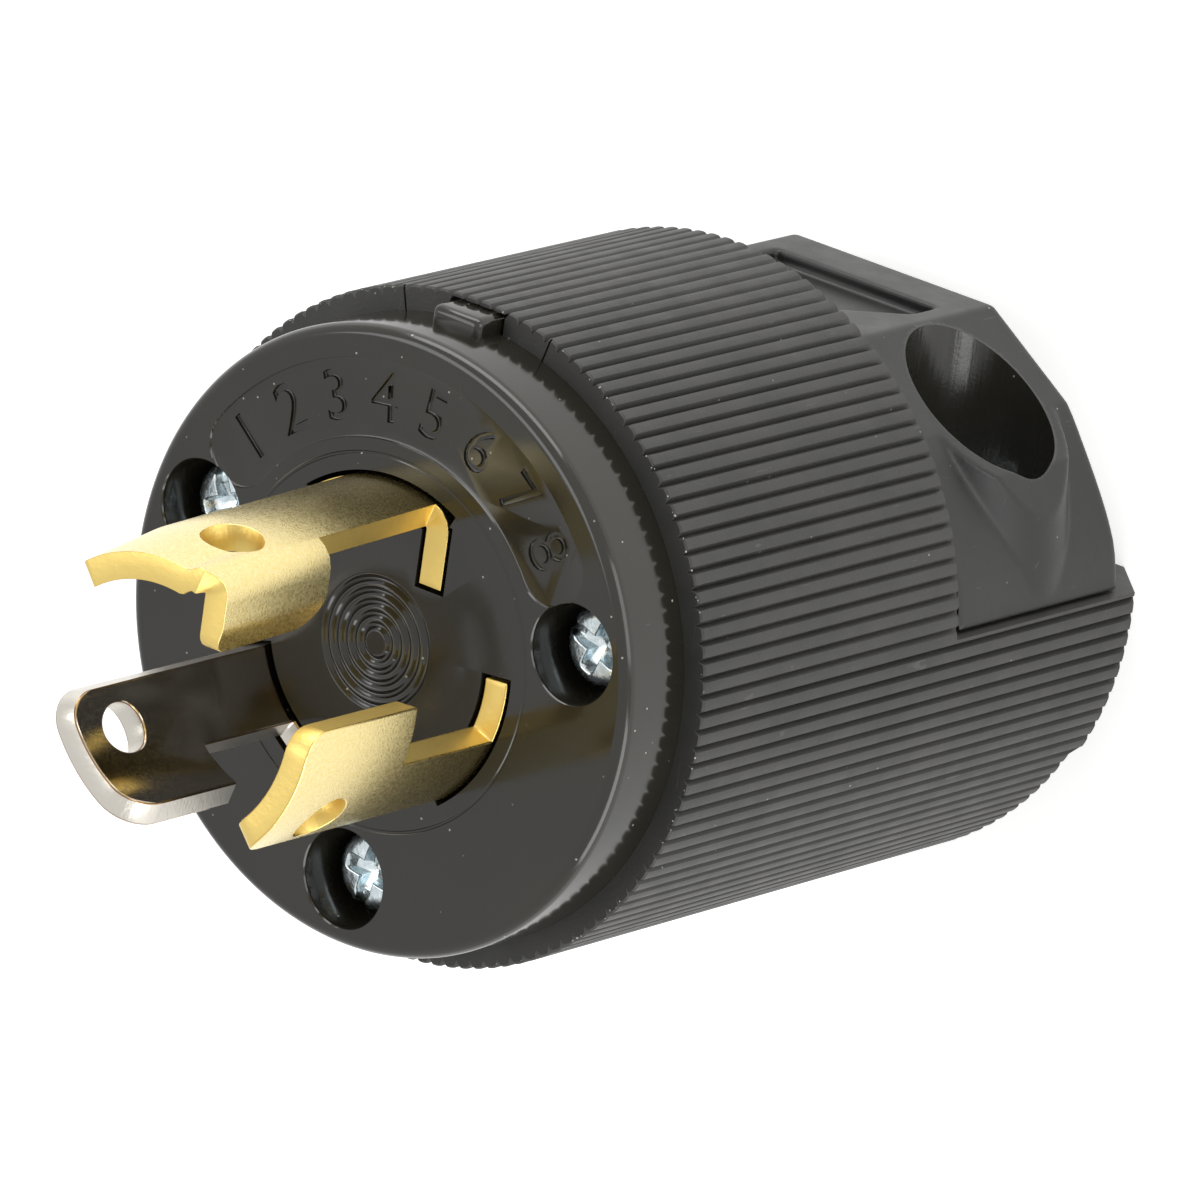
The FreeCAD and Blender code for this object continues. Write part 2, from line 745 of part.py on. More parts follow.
def clamp_nuts():
    """Two square nuts in the pockets of the lower clamp half."""
    nuts = []
    for side in (1, -1):
        bore = Part.makeCylinder(clamp_screw_radius + thread_clearance, 3 * nut_thickness,
                                 Vector(side * clamp_screw_x, nut_top_y + nut_thickness, clamp_screw_z),
                                 Vector(0, -1, 0))
        nuts.append(nut_pocket(side, 0).cut(bore))
    return Part.makeCompound(nuts)


# Jaw of the cord clamp
def jaw_section(inset, height):
    """Outline of the jaw across the plug, drawn inwards by an inset."""
    slope = math.radians(jaw_slope_angle)
    radius = jaw_side_radius - inset
    centre_y = jaw_side_centre_y
    top = jaw_top_y - inset
    bottom = ledge_height + jaw_gap

    # The sloped flat runs down from the top corner until it meets the round side
    corner_x = jaw_top_half_width - inset * math.tan(slope / 2)
    lean = Vector(math.cos(slope), -math.sin(slope), 0)
    start = Vector(corner_x, top - centre_y, 0)
    along = start.dot(lean)
    run = -along + math.sqrt(along ** 2 - start.dot(start) + radius ** 2)
    meet = Vector(corner_x + run * lean.x, top + run * lean.y, height)
    side_x = math.sqrt(radius ** 2 - (bottom - centre_y) ** 2)
    turn = (math.atan2(meet.y - centre_y, meet.x) + math.atan2(bottom - centre_y, side_x)) / 2
    bulge = Vector(radius * math.cos(turn), centre_y + radius * math.sin(turn), height)

    def mirror(point):
        return Vector(-point.x, point.y, point.z)

    corner = Vector(corner_x, top, height)
    low = Vector(side_x, bottom, height)
    return Part.Wire([
        Part.makeLine(mirror(low), low),
        Part.Arc(low, bulge, meet).toShape(),
        Part.makeLine(meet, corner),
        Part.makeLine(corner, mirror(corner)),
        Part.makeLine(mirror(corner), mirror(meet)),
        Part.Arc(mirror(meet), mirror(bulge), mirror(low)).toShape(),
    ])


def slope_trim():
    """Everything above the jaw's flat top and its two sloped flats."""
    reach = 3 * jaw_side_radius
    slope = math.tan(math.radians(jaw_slope_angle))
    drop = (reach - jaw_top_half_width) * slope
    corners = [
        Vector(-reach, jaw_top_y - drop, 0),
        Vector(-jaw_top_half_width, jaw_top_y, 0),
        Vector(jaw_top_half_width, jaw_top_y, 0),
        Vector(reach, jaw_top_y - drop, 0),
        Vector(reach, reach, 0),
        Vector(-reach, reach, 0),
    ]
    face = Part.Face(Part.makePolygon(corners + corners[:1]))
    return face.extrude(Vector(0, 0, upper_rib_end_height))


def upper_clamp_jaw():
    front = upper_rib_end_height - jaw_front_gap
    bottom = ledge_height + jaw_gap
    trunk = Part.Face(jaw_section(0, jaw_chamfer)).extrude(Vector(0, 0, front - jaw_chamfer))
    rear = Part.makeLoft([jaw_section(jaw_chamfer, 0), jaw_section(0, jaw_chamfer)], True, True)
    jaw = trunk.fuse(rear)

    # Bosses round the two screws, cut off by the sloped flats
    bosses = []
    for side in (1, -1):
        boss = Part.makeCylinder(boss_radius, BEYOND,
                                 Vector(side * clamp_screw_x, bottom, clamp_screw_z), Vector(0, 1, 0))
        bosses.append(boss.cut(slope_trim()))
    jaw = jaw.fuse(bosses)
    inside = disc(rib_root_radius, 0, front)
    jaw = jaw.common(inside)

    # Cord arch with its ridges
    jaw = jaw.cut(disc(clamp_channel_radius, -MARGIN, front + MARGIN))
    jaw = jaw.fuse(grip_ridges(clamp_channel_radius, 1))

    # Funnel wells and screw holes
    for side in (1, -1):
        well = Part.makeCylinder(clamp_well_radius, jaw_top_y, Vector(side * clamp_screw_x, clamp_seat_y, clamp_screw_z),
                                 Vector(0, 1, 0))
        hole = Part.makeCylinder(clamp_screw_radius + hole_clearance, jaw_top_y,
                                 Vector(side * clamp_screw_x, 0, clamp_screw_z), Vector(0, 1, 0))
        jaw = jaw.cut([well, hole])

    # Long recess in the flat top, one end cut back at a slant
    half = jaw_top_half_width - recess_border
    floor = jaw_top_y - recess_depth
    corners = [
        Vector(-half, floor, recess_start_height),
        Vector(half, floor, recess_start_height),
        Vector(half, floor, recess_corner_height),
        Vector(half - recess_slant_width, floor, recess_slant_height),
        Vector(half - recess_slant_width, floor, front + MARGIN),
        Vector(-half, floor, front + MARGIN),
    ]
    recess = Part.Face(Part.makePolygon(corners + corners[:1])).extrude(Vector(0, BEYOND, 0))
    return jaw.cut(recess).removeSplitter()


def dust_shield():
    """Rubber diaphragm that stands on the floor of the cavity by its lip."""
    floor = cavity_floor_height
    membrane = floor + shield_lip_height
    return revolve([
        (shield_hole_radius, membrane),
        (shield_radius - shield_lip_width, membrane),
        (shield_radius - shield_lip_width, floor),
        (shield_radius, floor),
        (shield_radius, membrane + shield_thickness),
        (shield_hole_radius, membrane + shield_thickness),
    ])


def write(name, shape):
    """Save one node and print its size."""
    solids = shape.Solids
    box = shape.BoundBox
    print("%-24s solids %d valid %s volume %8.1f z %6.2f to %6.2f" % (
        name, len(solids), shape.isValid(), shape.Volume, box.ZMin, box.ZMax))
    shape.exportStep("parts/%s.step" % name)


write("ribbed_housing", ribbed_housing())
write("face_cap", face_cap())
write("terminal_body", terminal_body())
write("terminal_cover", terminal_cover())
write("dust_shield", dust_shield())
write("ground_blade", ground_blade())
write("hot_blade", current_blade(hot_centre_angle, hot_tip_slope, (hot_hole_setback, hot_hole_cw_offset),
                                 tip_corner_round))
write("neutral_blade", current_blade(neutral_centre_angle, neutral_tip_slope,
                                     (neutral_hole_setback, neutral_hole_cw_offset), neutral_corner_round))
for name, centre in blade_centres.items():
    write(name + "_clamp_plate", clamp_plate(centre))
    write(name + "_terminal_screw", terminal_screw(centre))
write("assembly_screws", assembly_screws())
write("assembly_inserts", assembly_inserts())
write("upper_clamp_jaw", upper_clamp_jaw())
write("clamp_screws", clamp_screws())
write("clamp_nuts", clamp_nuts())
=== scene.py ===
# %% [markdown]
# # A three-blade locking power plug
#
# The plug is a black ribbed barrel with a glossy face, three curved metal blades and a screw-down
# cord clamp at its rear. Its solids come from the CAD model, standing on the rear end with the
# blades up, in metres. This lesson dresses them: it rebuilds the pieces whose surface the eye rests
# on, gives each real material its colour and finish, and lights the plug as in a product photograph.

import math

import bmesh
import bpy
from mathutils import Matrix, Vector


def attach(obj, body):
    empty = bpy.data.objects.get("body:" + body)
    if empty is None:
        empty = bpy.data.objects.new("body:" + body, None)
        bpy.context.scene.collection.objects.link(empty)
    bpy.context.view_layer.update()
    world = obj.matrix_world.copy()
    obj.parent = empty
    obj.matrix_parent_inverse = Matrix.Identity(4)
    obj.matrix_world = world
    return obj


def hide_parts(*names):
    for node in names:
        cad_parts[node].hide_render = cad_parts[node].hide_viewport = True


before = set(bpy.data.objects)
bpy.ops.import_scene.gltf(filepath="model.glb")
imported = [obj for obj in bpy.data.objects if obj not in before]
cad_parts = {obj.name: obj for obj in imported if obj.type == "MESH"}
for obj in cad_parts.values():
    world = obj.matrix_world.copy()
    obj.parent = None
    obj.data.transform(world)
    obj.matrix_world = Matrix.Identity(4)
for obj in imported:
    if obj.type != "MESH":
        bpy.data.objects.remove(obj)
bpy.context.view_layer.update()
print("CAD nodes:", len(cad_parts))

# %% [markdown]
# Every size is written in millimetres, as on a drawing, and turned to metres in one place.

# %% Units and small helpers
MM = 0.001
SAME_POINT = 0.001 * MM


def mm(*values):
    """Point in metres from millimetres."""
    return Vector(values) * MM


def polar(radius, angle, height=0.0):
    """Point in millimetres at a radius and an angle in degrees round the plug's axis."""
    turn = math.radians(angle)
    return Vector((radius * math.cos(turn), radius * math.sin(turn), height))


# %% [markdown]
# The camera stands where the photographer's did. It was worked out from the circles and edges of
# the plug in the photograph: nearly level with the blades' tips, a long way off with a long lens,
# and rolled so that the barrel seems to lie on its side.

# %% Camera
RIGHT = Vector((0.76725, 0.1354, -0.62689))
UP = Vector((-0.29787, 0.94087, -0.16135))
BACK = Vector((0.56797, 0.31053, 0.76222))
CAMERA_PLACE = (413.583, 225.278, 580.276)
LENS = 424.515

camera_data = bpy.data.cameras.new("camera")
camera_data.lens = LENS
camera_data.sensor_width = 36.0
camera_data.clip_start = 0.01
camera = bpy.data.objects.new("camera", camera_data)
bpy.context.scene.collection.objects.link(camera)
turn = Matrix((RIGHT, UP, BACK)).transposed().to_4x4()
camera.matrix_world = Matrix.Translation(mm(*CAMERA_PLACE)) @ turn
bpy.context.scene.camera = camera
print("Camera %.0f mm from the plug's foot, lens %.0f mm" % (Vector(CAMERA_PLACE).length, LENS))

# %% [markdown]
# A material is a small graph of nodes. One function adds a node and gives it what it needs: a
# setting, a number or hex colour for an input, or another node to link to. Colours are written as
# they look on a screen and turned to the linear values that Blender mixes.

# %% Material helpers


def colour(code):
    """Linear colour from an sRGB hex value."""
    values = [int(code[i:i + 2], 16) / 255 for i in (1, 3, 5)]
    return [v / 12.92 if v <= 0.04045 else ((v + 0.055) / 1.055) ** 2.4 for v in values] + [1.0]


def plug_in(tree, item, needs):
    """Give a node's settings and inputs a value, a hex colour, or a link from a node or output."""
    for name, value in needs.items():
        if isinstance(value, bpy.types.Node):
            value = value.outputs[0]
        if isinstance(value, bpy.types.NodeSocket):
            tree.links.new(value, item.inputs[name])
        elif isinstance(name, str) and hasattr(item, name):
            setattr(item, name, value)
        else:
            item.inputs[name].default_value = colour(value) if isinstance(value, str) else value


def add(tree, kind, needs=None):
    """Add a node with its settings, values and links."""
    item = tree.nodes.new(kind)
    plug_in(tree, item, needs or {})
    return item


def material(name):
    """Empty material, as a pair of material and node tree."""
    made = bpy.data.materials.new(name)
    made.use_nodes = True
    made.node_tree.nodes.clear()
    return made, made.node_tree


def finish_material(tree, shader):
    """Link a shader to the output."""
    add(tree, "ShaderNodeOutputMaterial", {"Surface": shader})


def wear(tree, low, high, size_mm, detail=4.0):
    """Cloudy value between two numbers, its patches about a size in millimetres."""
    place = add(tree, "ShaderNodeTexCoord").outputs["Object"]
    noise = add(tree, "ShaderNodeTexNoise", {"Scale": 1 / (size_mm * MM), "Detail": detail, "Vector": place})
    return add(tree, "ShaderNodeMapRange", {"From Min": 0.3, "From Max": 0.7, "To Min": low, "To Max": high,
                                            "Value": noise})


def coated(tree, tone, *coats):
    """Colour under coats of other colours, each a pair of an amount and a colour."""
    for amount, coat in coats:
        tone = add(tree, "ShaderNodeMix", {"data_type": "RGBA", 0: amount, 6: tone, 7: coat}).outputs[2]
    return tone


def cloudy(tree, dark, light, size_mm, detail=4.0):
    """Colour that drifts between two hex values, in patches about a size in millimetres."""
    return coated(tree, dark, (wear(tree, 0.0, 1.0, size_mm, detail), light))


# %% [markdown]
# Small marks make a surface believable. Specks are dust grains a tenth of a millimetre across, far
# apart. Scratches are long thin streaks of a stretched noise, kept only where it peaks. Both are
# values between 0 and 1 that the materials below mix into their colour and roughness.

# %% Dust, scratches and grain
SCRATCH_SOFTNESS = 0.04


def specks(tree, spacing_mm, size_mm, chance):
    """Value of 1 on small round grains, one at most in each cell of a spacing."""
    place = add(tree, "ShaderNodeTexCoord").outputs["Object"]
    edge = size_mm / spacing_mm
    cells = add(tree, "ShaderNodeTexVoronoi", {"Scale": 1 / (spacing_mm * MM), "Randomness": 1.0, "Vector": place})
    near = add(tree, "ShaderNodeMapRange", {"From Min": edge, "From Max": 0.4 * edge,
                                            "Value": cells.outputs["Distance"]})
    lot = add(tree, "ShaderNodeSeparateColor", {"Color": cells.outputs["Color"]})
    chosen = add(tree, "ShaderNodeMath", {"operation": "LESS_THAN", 0: lot, 1: chance})
    return add(tree, "ShaderNodeMath", {"operation": "MULTIPLY", 0: near, 1: chosen})


def scratches(tree, width_mm, length_mm, turn, rarity):
    """Value of 1 on thin straight streaks that all run one way."""
    place = add(tree, "ShaderNodeTexCoord").outputs["Object"]
    across = 1 / (width_mm * MM)
    along = 1 / (length_mm * MM)
    lean = add(tree, "ShaderNodeMapping", {"Rotation": (math.radians(30), math.radians(20), math.radians(turn)),
                                           "Scale": (across, along, along), "Vector": place})
    noise = add(tree, "ShaderNodeTexNoise", {"Scale": 1.0, "Detail": 2.0, "Vector": lean})
    return add(tree, "ShaderNodeMapRange", {"From Min": rarity, "From Max": rarity + SCRATCH_SOFTNESS,
                                            "Value": noise})


def grain_bump(tree, size_mm, depth_mm):
    """Normal of a fine even grain."""
    place = add(tree, "ShaderNodeTexCoord").outputs["Object"]
    grain = add(tree, "ShaderNodeTexNoise", {"Scale": 1 / (size_mm * MM), "Detail": 3.0, "Vector": place})
    return add(tree, "ShaderNodeBump", {"Distance": depth_mm * MM, "Strength": 1.0, "Height": grain})


def tool_lines(tree, sizes_mm, amount, under):
    """Normal of fine lines that a tool left, where an amount is over 0, on top of another normal."""
    place = add(tree, "ShaderNodeTexCoord").outputs["Object"]
    drawn = add(tree, "ShaderNodeMapping", {"Scale": [1 / (size * MM) for size in sizes_mm], "Vector": place})
    lines = add(tree, "ShaderNodeTexNoise", {"Scale": 1.0, "Detail": 2.0, "Vector": drawn})
    ridge = add(tree, "ShaderNodeMath", {"operation": "MULTIPLY", 0: lines, 1: amount})
    return add(tree, "ShaderNodeBump", {"Distance": 0.02 * MM, "Strength": 1.0, "Height": ridge, "Normal": under})


# %% [markdown]
# The barrel and the lower half of the clamp are moulded nylon with a fine sparked texture: black
# that scatters the light and reads as dark grey. The upper jaw comes from a smoother mould. Its
# screw wells were drawn over polished core pins, so they gleam with fine upright lines, and the paler
# grey in them is painted sheen. The grain of 0.16 mm and the lines a third of a millimetre wide are
# drawn coarser than the real ones, so that they show.

# %% Moulded plastics


def moulded_plastic(name, base, pale, roughness, grain_mm, grain_depth_mm, polish=0.0):
    """Black plastic: cloudy tone, rubbed patches, fine grain and pale dust; glossier where marked polished, with a
    painted paler sheen there.
    """
    made, tree = material(name)
    polished = add(tree, "ShaderNodeAttribute", {"attribute_name": "polished"}).outputs["Fac"]
    streaks = add(tree, "ShaderNodeMath", {"operation": "MULTIPLY", 1: 0.12,
                                           0: scratches(tree, 0.1, 2.0, 60.0, 0.71)})
    # Where marked polished, the colour is lifted to a paler grey: painted sheen on the glossy well walls.
    tone_with_marks = coated(tree, cloudy(tree, base, pale, 5.0), (streaks, "#8c8b87"), (polished, "#2b2a26"),
                   (specks(tree, 1.1, 0.07, 0.3), "#a4a39d"))
    rubbed = wear(tree, roughness * 0.9, min(1.0, roughness * 1.12), 1.6, 6.0)
    rough = add(tree, "ShaderNodeMath", {"operation": "MULTIPLY_ADD", "use_clamp": True,
                                         0: polished, 1: -polish, 2: rubbed})
    normal = tool_lines(tree, (1 / 3, 20 / 3, 1 / 3), polished, grain_bump(tree, grain_mm, grain_depth_mm))
    finish_material(tree, add(tree, "ShaderNodeBsdfPrincipled", {
        "IOR": 1.5, "Base Color": tone_with_marks, "Roughness": rough, "Normal": normal}))
    return made


sparked_nylon = moulded_plastic("sparked black nylon", "#2b2b29", "#343330", 0.52, 0.16, 0.014)
satin_nylon = moulded_plastic("satin black nylon", "#121211", "#1a1918", 0.4, 0.2, 0.006, 0.22)
inner_nylon = moulded_plastic("dark grey inner nylon", "#2c2c2d", "#363637", 0.55, 0.2, 0.01)
membrane_rubber = moulded_plastic("soft black rubber", "#191919", "#222222", 0.75, 0.3, 0.01)
print("Plastics made")

# %% [markdown]
# The face is a harder, polished phenolic. It is nearly black with a warm tinge, and what the eye
# sees on it is mostly reflection: the blades, the softboxes, fine scratches and dust.

# %% Polished face


def polished_phenolic():
    """Glossy black with crossed scratches, a little haze and dust."""
    made, tree = material("polished black phenolic")
    both = add(tree, "ShaderNodeMath", {"operation": "ADD", "use_clamp": True,
                                        0: scratches(tree, 0.05, 1.2, 25.0, 0.75),
                                        1: scratches(tree, 0.06, 0.9, 115.0, 0.76)})
    scuff = add(tree, "ShaderNodeMath", {"operation": "MULTIPLY", 0: both, 1: 0.12})
    tone_with_marks = coated(tree, cloudy(tree, "#201f19", "#26241d", 7.0), (scuff, "#8f8a80"),
                   (specks(tree, 1.0, 0.075, 0.5), "#b9b6aa"))
    rough = add(tree, "ShaderNodeMath", {"operation": "MULTIPLY_ADD", 0: both, 1: 0.15,
                                         2: wear(tree, 0.1, 0.16, 1.4, 6.0)})
    finish_material(tree, add(tree, "ShaderNodeBsdfPrincipled", {
        "IOR": 1.52, "Base Color": tone_with_marks, "Roughness": rough, "Normal": grain_bump(tree, 0.5, 0.0012)}))
    return made


face_phenolic = polished_phenolic()
print("Face made")

# %% [markdown]
# The blades are rolled brass sheet, satin with a faint grain, and a little darker and more olive
# towards the face. The sheared edges are brighter than the faces and carry fine lines from the punch.
# On the brass, the edges and their eased corners are a deeper gold: painted reflection of the other
# blades and the dark face. The third blade has the same sheet under bright nickel, a near mirror whose
# corners are worn down to the brass and whose edges are frosted. Each blade's mesh marks its sheared
# edges for this.

# %% Blade metals
FACE_HEIGHT = 43.5
ROOT_TONE_END = FACE_HEIGHT + 8.5


def blade_metal(name, light, dark, root_tone, corner, edge, low, high, grain_depth_mm):
    """Rolled sheet metal with sheared edges and worn corners, with painted reflection on them, darker towards the
    face.
    """
    made, tree = material(name)
    place = add(tree, "ShaderNodeTexCoord").outputs["Object"]
    height = add(tree, "ShaderNodeSeparateXYZ", {"Vector": place}).outputs[2]
    # Over the last 8.5 mm towards the face the colour darkens and turns olive.
    root = add(tree, "ShaderNodeMapRange", {"From Min": ROOT_TONE_END * MM, "From Max": FACE_HEIGHT * MM,
                                            "To Max": 0.8, "Value": height})
    towards_face = add(tree, "ShaderNodeMath", {"operation": "MULTIPLY", 0: root, 1: wear(tree, 0.85, 1.0, 0.2, 2.0)})
    sheared = add(tree, "ShaderNodeAttribute", {"attribute_name": "sheared"}).outputs["Fac"]
    rim = add(tree, "ShaderNodeMapRange", {"From Min": 0.04, "From Max": 0.16, "Value": sheared})
    cut = add(tree, "ShaderNodeMapRange", {"From Min": 0.6, "From Max": 0.9, "Value": sheared})
    # Coats: darker towards the face, then the corner and edge colours: worn brass and frosting on the nickel, a
    # deeper gold of painted reflection on the brass.
    bare = coated(tree, cloudy(tree, dark, light, 0.2, 2.0), (towards_face, root_tone), (rim, corner), (cut, edge))
    rough = add(tree, "ShaderNodeMath", {"operation": "MULTIPLY_ADD", 0: cut, 1: 0.18,
                                         2: wear(tree, low, high, 0.2, 2.0)})
    normal = tool_lines(tree, (0.4, 0.4, 1 / 9), cut, grain_bump(tree, 0.12, grain_depth_mm))
    finish_material(tree, add(tree, "ShaderNodeBsdfPrincipled", {
        "Metallic": 1.0, "Base Color": bare, "Roughness": rough, "Normal": normal}))
    return made


# On the brass, the corner and edge colours are a deeper gold: painted reflection of the other blades and the dark
# face.
rolled_brass = blade_metal("rolled satin brass", "#ecdba2", "#e2cd8d", "#a8955c", "#cfae5c", "#dcc274",
                           0.25, 0.3, 0.008)
nickel_plate = blade_metal("bright nickel plate", "#cbc4b8", "#beb5a8", "#b0a696", "#8b6c42", "#c9c4bb",
                           0.1, 0.18, 0.0015)
print("Blade metals made")

# %% [markdown]
# The fasteners are steel. The screws have a bluish zinc plate, mottled and a little scratched by the
# driver, and the earth terminal's screw is dyed green.

# %% Fastener metals


def plated_steel(name, light, dark, low, high):
    """Plated steel with a mottled tone and a lumpy, scratched skin."""
    made, tree = material(name)
    cuts = add(tree, "ShaderNodeMath", {"operation": "MULTIPLY", 1: 0.5,
                                        0: scratches(tree, 0.05, 0.8, 70.0, 0.62)})
    bright = coated(tree, cloudy(tree, dark, light, 0.6, 5.0), (cuts, "#f6f8f8"))
    finish_material(tree, add(tree, "ShaderNodeBsdfPrincipled", {
        "Metallic": 1.0, "Base Color": bright, "Roughness": wear(tree, low, high, 0.4, 4.0),
        "Normal": grain_bump(tree, 0.25, 0.02)}))
    return made


zinc_plate = plated_steel("blue zinc plate", "#e2ebee", "#bccad0", 0.16, 0.32)
green_plate = plated_steel("green dyed steel", "#3f8f55", "#357a48", 0.3, 0.42)
print("Fastener metals made")

# %% [markdown]
# Pieces are carved from one another with cutters, as a toolmaker would cut a mould. Turned cutters
# come from a profile of radius and height pairs. The others are boxes or lofts between outlines.

# %% Shape helpers


def mesh_object(name, bm, finish=None):
    """New object from a bmesh, linked to the scene."""
    mesh = bpy.data.meshes.new(name)
    bmesh.ops.recalc_face_normals(bm, faces=bm.faces)
    bm.to_mesh(mesh)
    bm.free()
    made = bpy.data.objects.new(name, mesh)
    bpy.context.scene.collection.objects.link(made)
    if finish:
        mesh.materials.append(finish)
    return made


def turned_solid(name, profile, steps=96, centre=(0, 0), axis="Z"):
    """Closed solid of revolution from pairs of radius and height, first and last on the axis."""
    bm = bmesh.new()
    rings = []
    for radius, height in profile:
        if radius < 1e-6:
            rings.append([bm.verts.new((0, 0, height))])
        else:
            rings.append([bm.verts.new(polar(radius, 360 * k / steps, height)) for k in range(steps)])
    for low, high in zip(rings, rings[1:]):
        for k in range(steps):
            corners = [low[k % len(low)], low[(k + 1) % len(low)], high[(k + 1) % len(high)], high[k % len(high)]]
            unique = list(dict.fromkeys(corners))
            if len(unique) > 2:
                bm.faces.new(unique)
    if axis == "Y":
        bmesh.ops.rotate(bm, verts=bm.verts, cent=(0, 0, 0), matrix=Matrix.Rotation(-math.pi / 2, 3, "X"))
    across, second = centre
    bmesh.ops.translate(bm, verts=bm.verts, vec=(across, second, 0.0) if axis == "Z" else (across, 0.0, second))
    bmesh.ops.scale(bm, verts=bm.verts, vec=(MM, MM, MM))
    return mesh_object(name, bm)


def rod(name, radius, low, high, steps=48, centre=(0, 0), axis="Z"):
    """Plain cylinder between two heights."""
    return turned_solid(name, [(0, low), (radius, low), (radius, high), (0, high)], steps, centre, axis)


def box_solid(name, low, high):
    """Box between two corners in millimetres."""
    bm = bmesh.new()
    bmesh.ops.create_cube(bm, size=1.0)
    size = Vector(high) - Vector(low)
    middle = (Vector(high) + Vector(low)) / 2
    bmesh.ops.scale(bm, verts=bm.verts, vec=size)
    bmesh.ops.translate(bm, verts=bm.verts, vec=middle)
    bmesh.ops.scale(bm, verts=bm.verts, vec=(MM, MM, MM))
    return mesh_object(name, bm)


def apply_all(piece):
    """Turn a piece and its modifiers into a plain mesh."""
    depsgraph = bpy.context.evaluated_depsgraph_get()
    mesh = bpy.data.meshes.new_from_object(piece.evaluated_get(depsgraph))
    piece.modifiers.clear()
    piece.data = mesh
    return piece


def dress(piece, finish, node):
    """Give a finished piece its material and put it in its node's place."""
    mesh = piece.data
    mesh.materials.clear()
    mesh.materials.append(finish)
    mesh.polygons.foreach_set("material_index", [0] * len(mesh.polygons))
    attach(piece, "root")
    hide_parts(node)
    print("%s: %d faces" % (piece.name, len(mesh.polygons)))


def carve(piece, cutters, operation="DIFFERENCE", tangled=False):
    """Cut solids out of a piece, or join them to it, one after the other."""
    for cutter in cutters:
        step = piece.modifiers.new("carve", "BOOLEAN")
        step.operation = operation
        step.solver = "EXACT"
        step.object = cutter
        step.use_self = tangled
    apply_all(piece)
    for cutter in cutters:
        bpy.data.objects.remove(cutter)
    return piece


def smooth_by_angle(piece, degrees):
    """Smooth shading, with edges sharper than an angle kept crisp."""
    mesh = piece.data
    mesh.shade_smooth()
    mesh.set_sharp_from_angle(angle=math.radians(degrees))


def arc(radius, start, end, steps, centre=(0.0, 0.0)):
    """Points in millimetres along an arc between two angles."""
    points = []
    for k in range(steps + 1):
        spot = polar(radius, start + (end - start) * k / steps)
        points.append((centre[0] + spot.x, centre[1] + spot.y))
    return points


def loft(name, layers):
    """Closed solid through outlines of one point count, from pairs of outline and height."""
    bm = bmesh.new()
    loops = [[bm.verts.new((x, y, height)) for x, y in outline] for outline, height in layers]
    count = len(loops[0])
    for low, high in zip(loops, loops[1:]):
        for k in range(count):
            after = (k + 1) % count
            bm.faces.new((low[k], low[after], high[after], high[k]))
    bm.faces.new(list(reversed(loops[0])))
    bm.faces.new(loops[-1])
    bmesh.ops.scale(bm, verts=bm.verts, vec=(MM, MM, MM))
    return mesh_object(name, bm)


def sector(name, inner, outer, start, end, low, high):
    """Curved bar between two radii, two angles and two heights."""
    outline = arc(outer, start, end, 24) + arc(inner, end, start, 24)
    return loft(name, [(outline, low), (outline, high)])


def joined(name, pieces):
    """One object with the meshes of several."""
    bm = bmesh.new()
    for piece in pieces:
        bm.from_mesh(piece.data)
    for piece in pieces:
        bpy.data.objects.remove(piece)
    return mesh_object(name, bm)


def remeshed(node, name, voxel_mm, passes):
    """Visual skin over a CAD node: an even fine mesh whose sharp edges are eased as if tumbled."""
    made = bpy.data.objects.new(name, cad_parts[node].data.copy())
    bpy.context.scene.collection.objects.link(made)
    made.data.materials.clear()
    bm = bmesh.new()
    bm.from_mesh(made.data)
    bmesh.ops.remove_doubles(bm, verts=bm.verts, dist=SAME_POINT)
    bm.to_mesh(made.data)
    bm.free()
    skin = made.modifiers.new("skin", "REMESH")
    skin.mode = "VOXEL"
    skin.voxel_size = voxel_mm * MM
    skin.use_smooth_shade = True
    ease = made.modifiers.new("ease", "SMOOTH")
    ease.factor = 0.5
    ease.iterations = passes
    return apply_all(made)


def mark_points(piece, name, rule):
    """Write a named value on each point of a mesh, worked out from its place in millimetres."""
    values = [rule(vertex.co / MM) for vertex in piece.data.vertices]
    piece.data.attributes.new(name, "FLOAT", "POINT").data.foreach_set("value", values)


# %% [markdown]
# The ribbed barrel follows a rule: 120 ribs, each with a crowned top and a narrow groove, run out
# to a chamfer at the rear. A grid is rolled into a tube in Geometry Nodes, its columns give the
# angle and its few rows the heights where the outline changes. The rule for the radius is worked
# out for each point, so the ribs stay even all the way round. The tree's sums are listed as steps,
# each with the name of its result.

# %% Ribbed barrel by a rule
RIB_COUNT = 120
RIB_TIP = 17.6
RIB_ROOT = 17.26
CREST_SHARE = 0.58
CROWN = 0.22
GROOVE_DROP = 0.8
RIM_HEIGHT = 38.95
FOOT_RADIUS = 14.7
UPPER_END = 17.6
RIB_RUN_OUT = 0.5
LEDGE = 1.3
RELIEF_DEPTH = 0.9
RELIEF_Y = -7.39
RELIEF_X = 15.6
RIM_EASE = 0.1
COLUMNS_PER_RIB = 10


def work_out(tree, known, steps):
    """Values worked out step by step: each step has a result's name, an operation and names or numbers."""
    values = dict(known)
    for name, operation, *parts in steps:
        inputs = {number: values[part] if isinstance(part, str) else part for number, part in enumerate(parts)}
        values[name] = add(tree, "ShaderNodeMath", {"operation": operation, **inputs})
    return values


def by_row(tree, row, *tables):
    """For each table of values, the one that belongs to a point's own row."""
    chosen = []
    for table in tables:
        switch = add(tree, "GeometryNodeIndexSwitch", {"data_type": "FLOAT"})
        while len(switch.index_switch_items) < len(table):
            switch.index_switch_items.new()
        plug_in(tree, switch, dict(enumerate([row] + table)))
        chosen.append(switch)
    return chosen


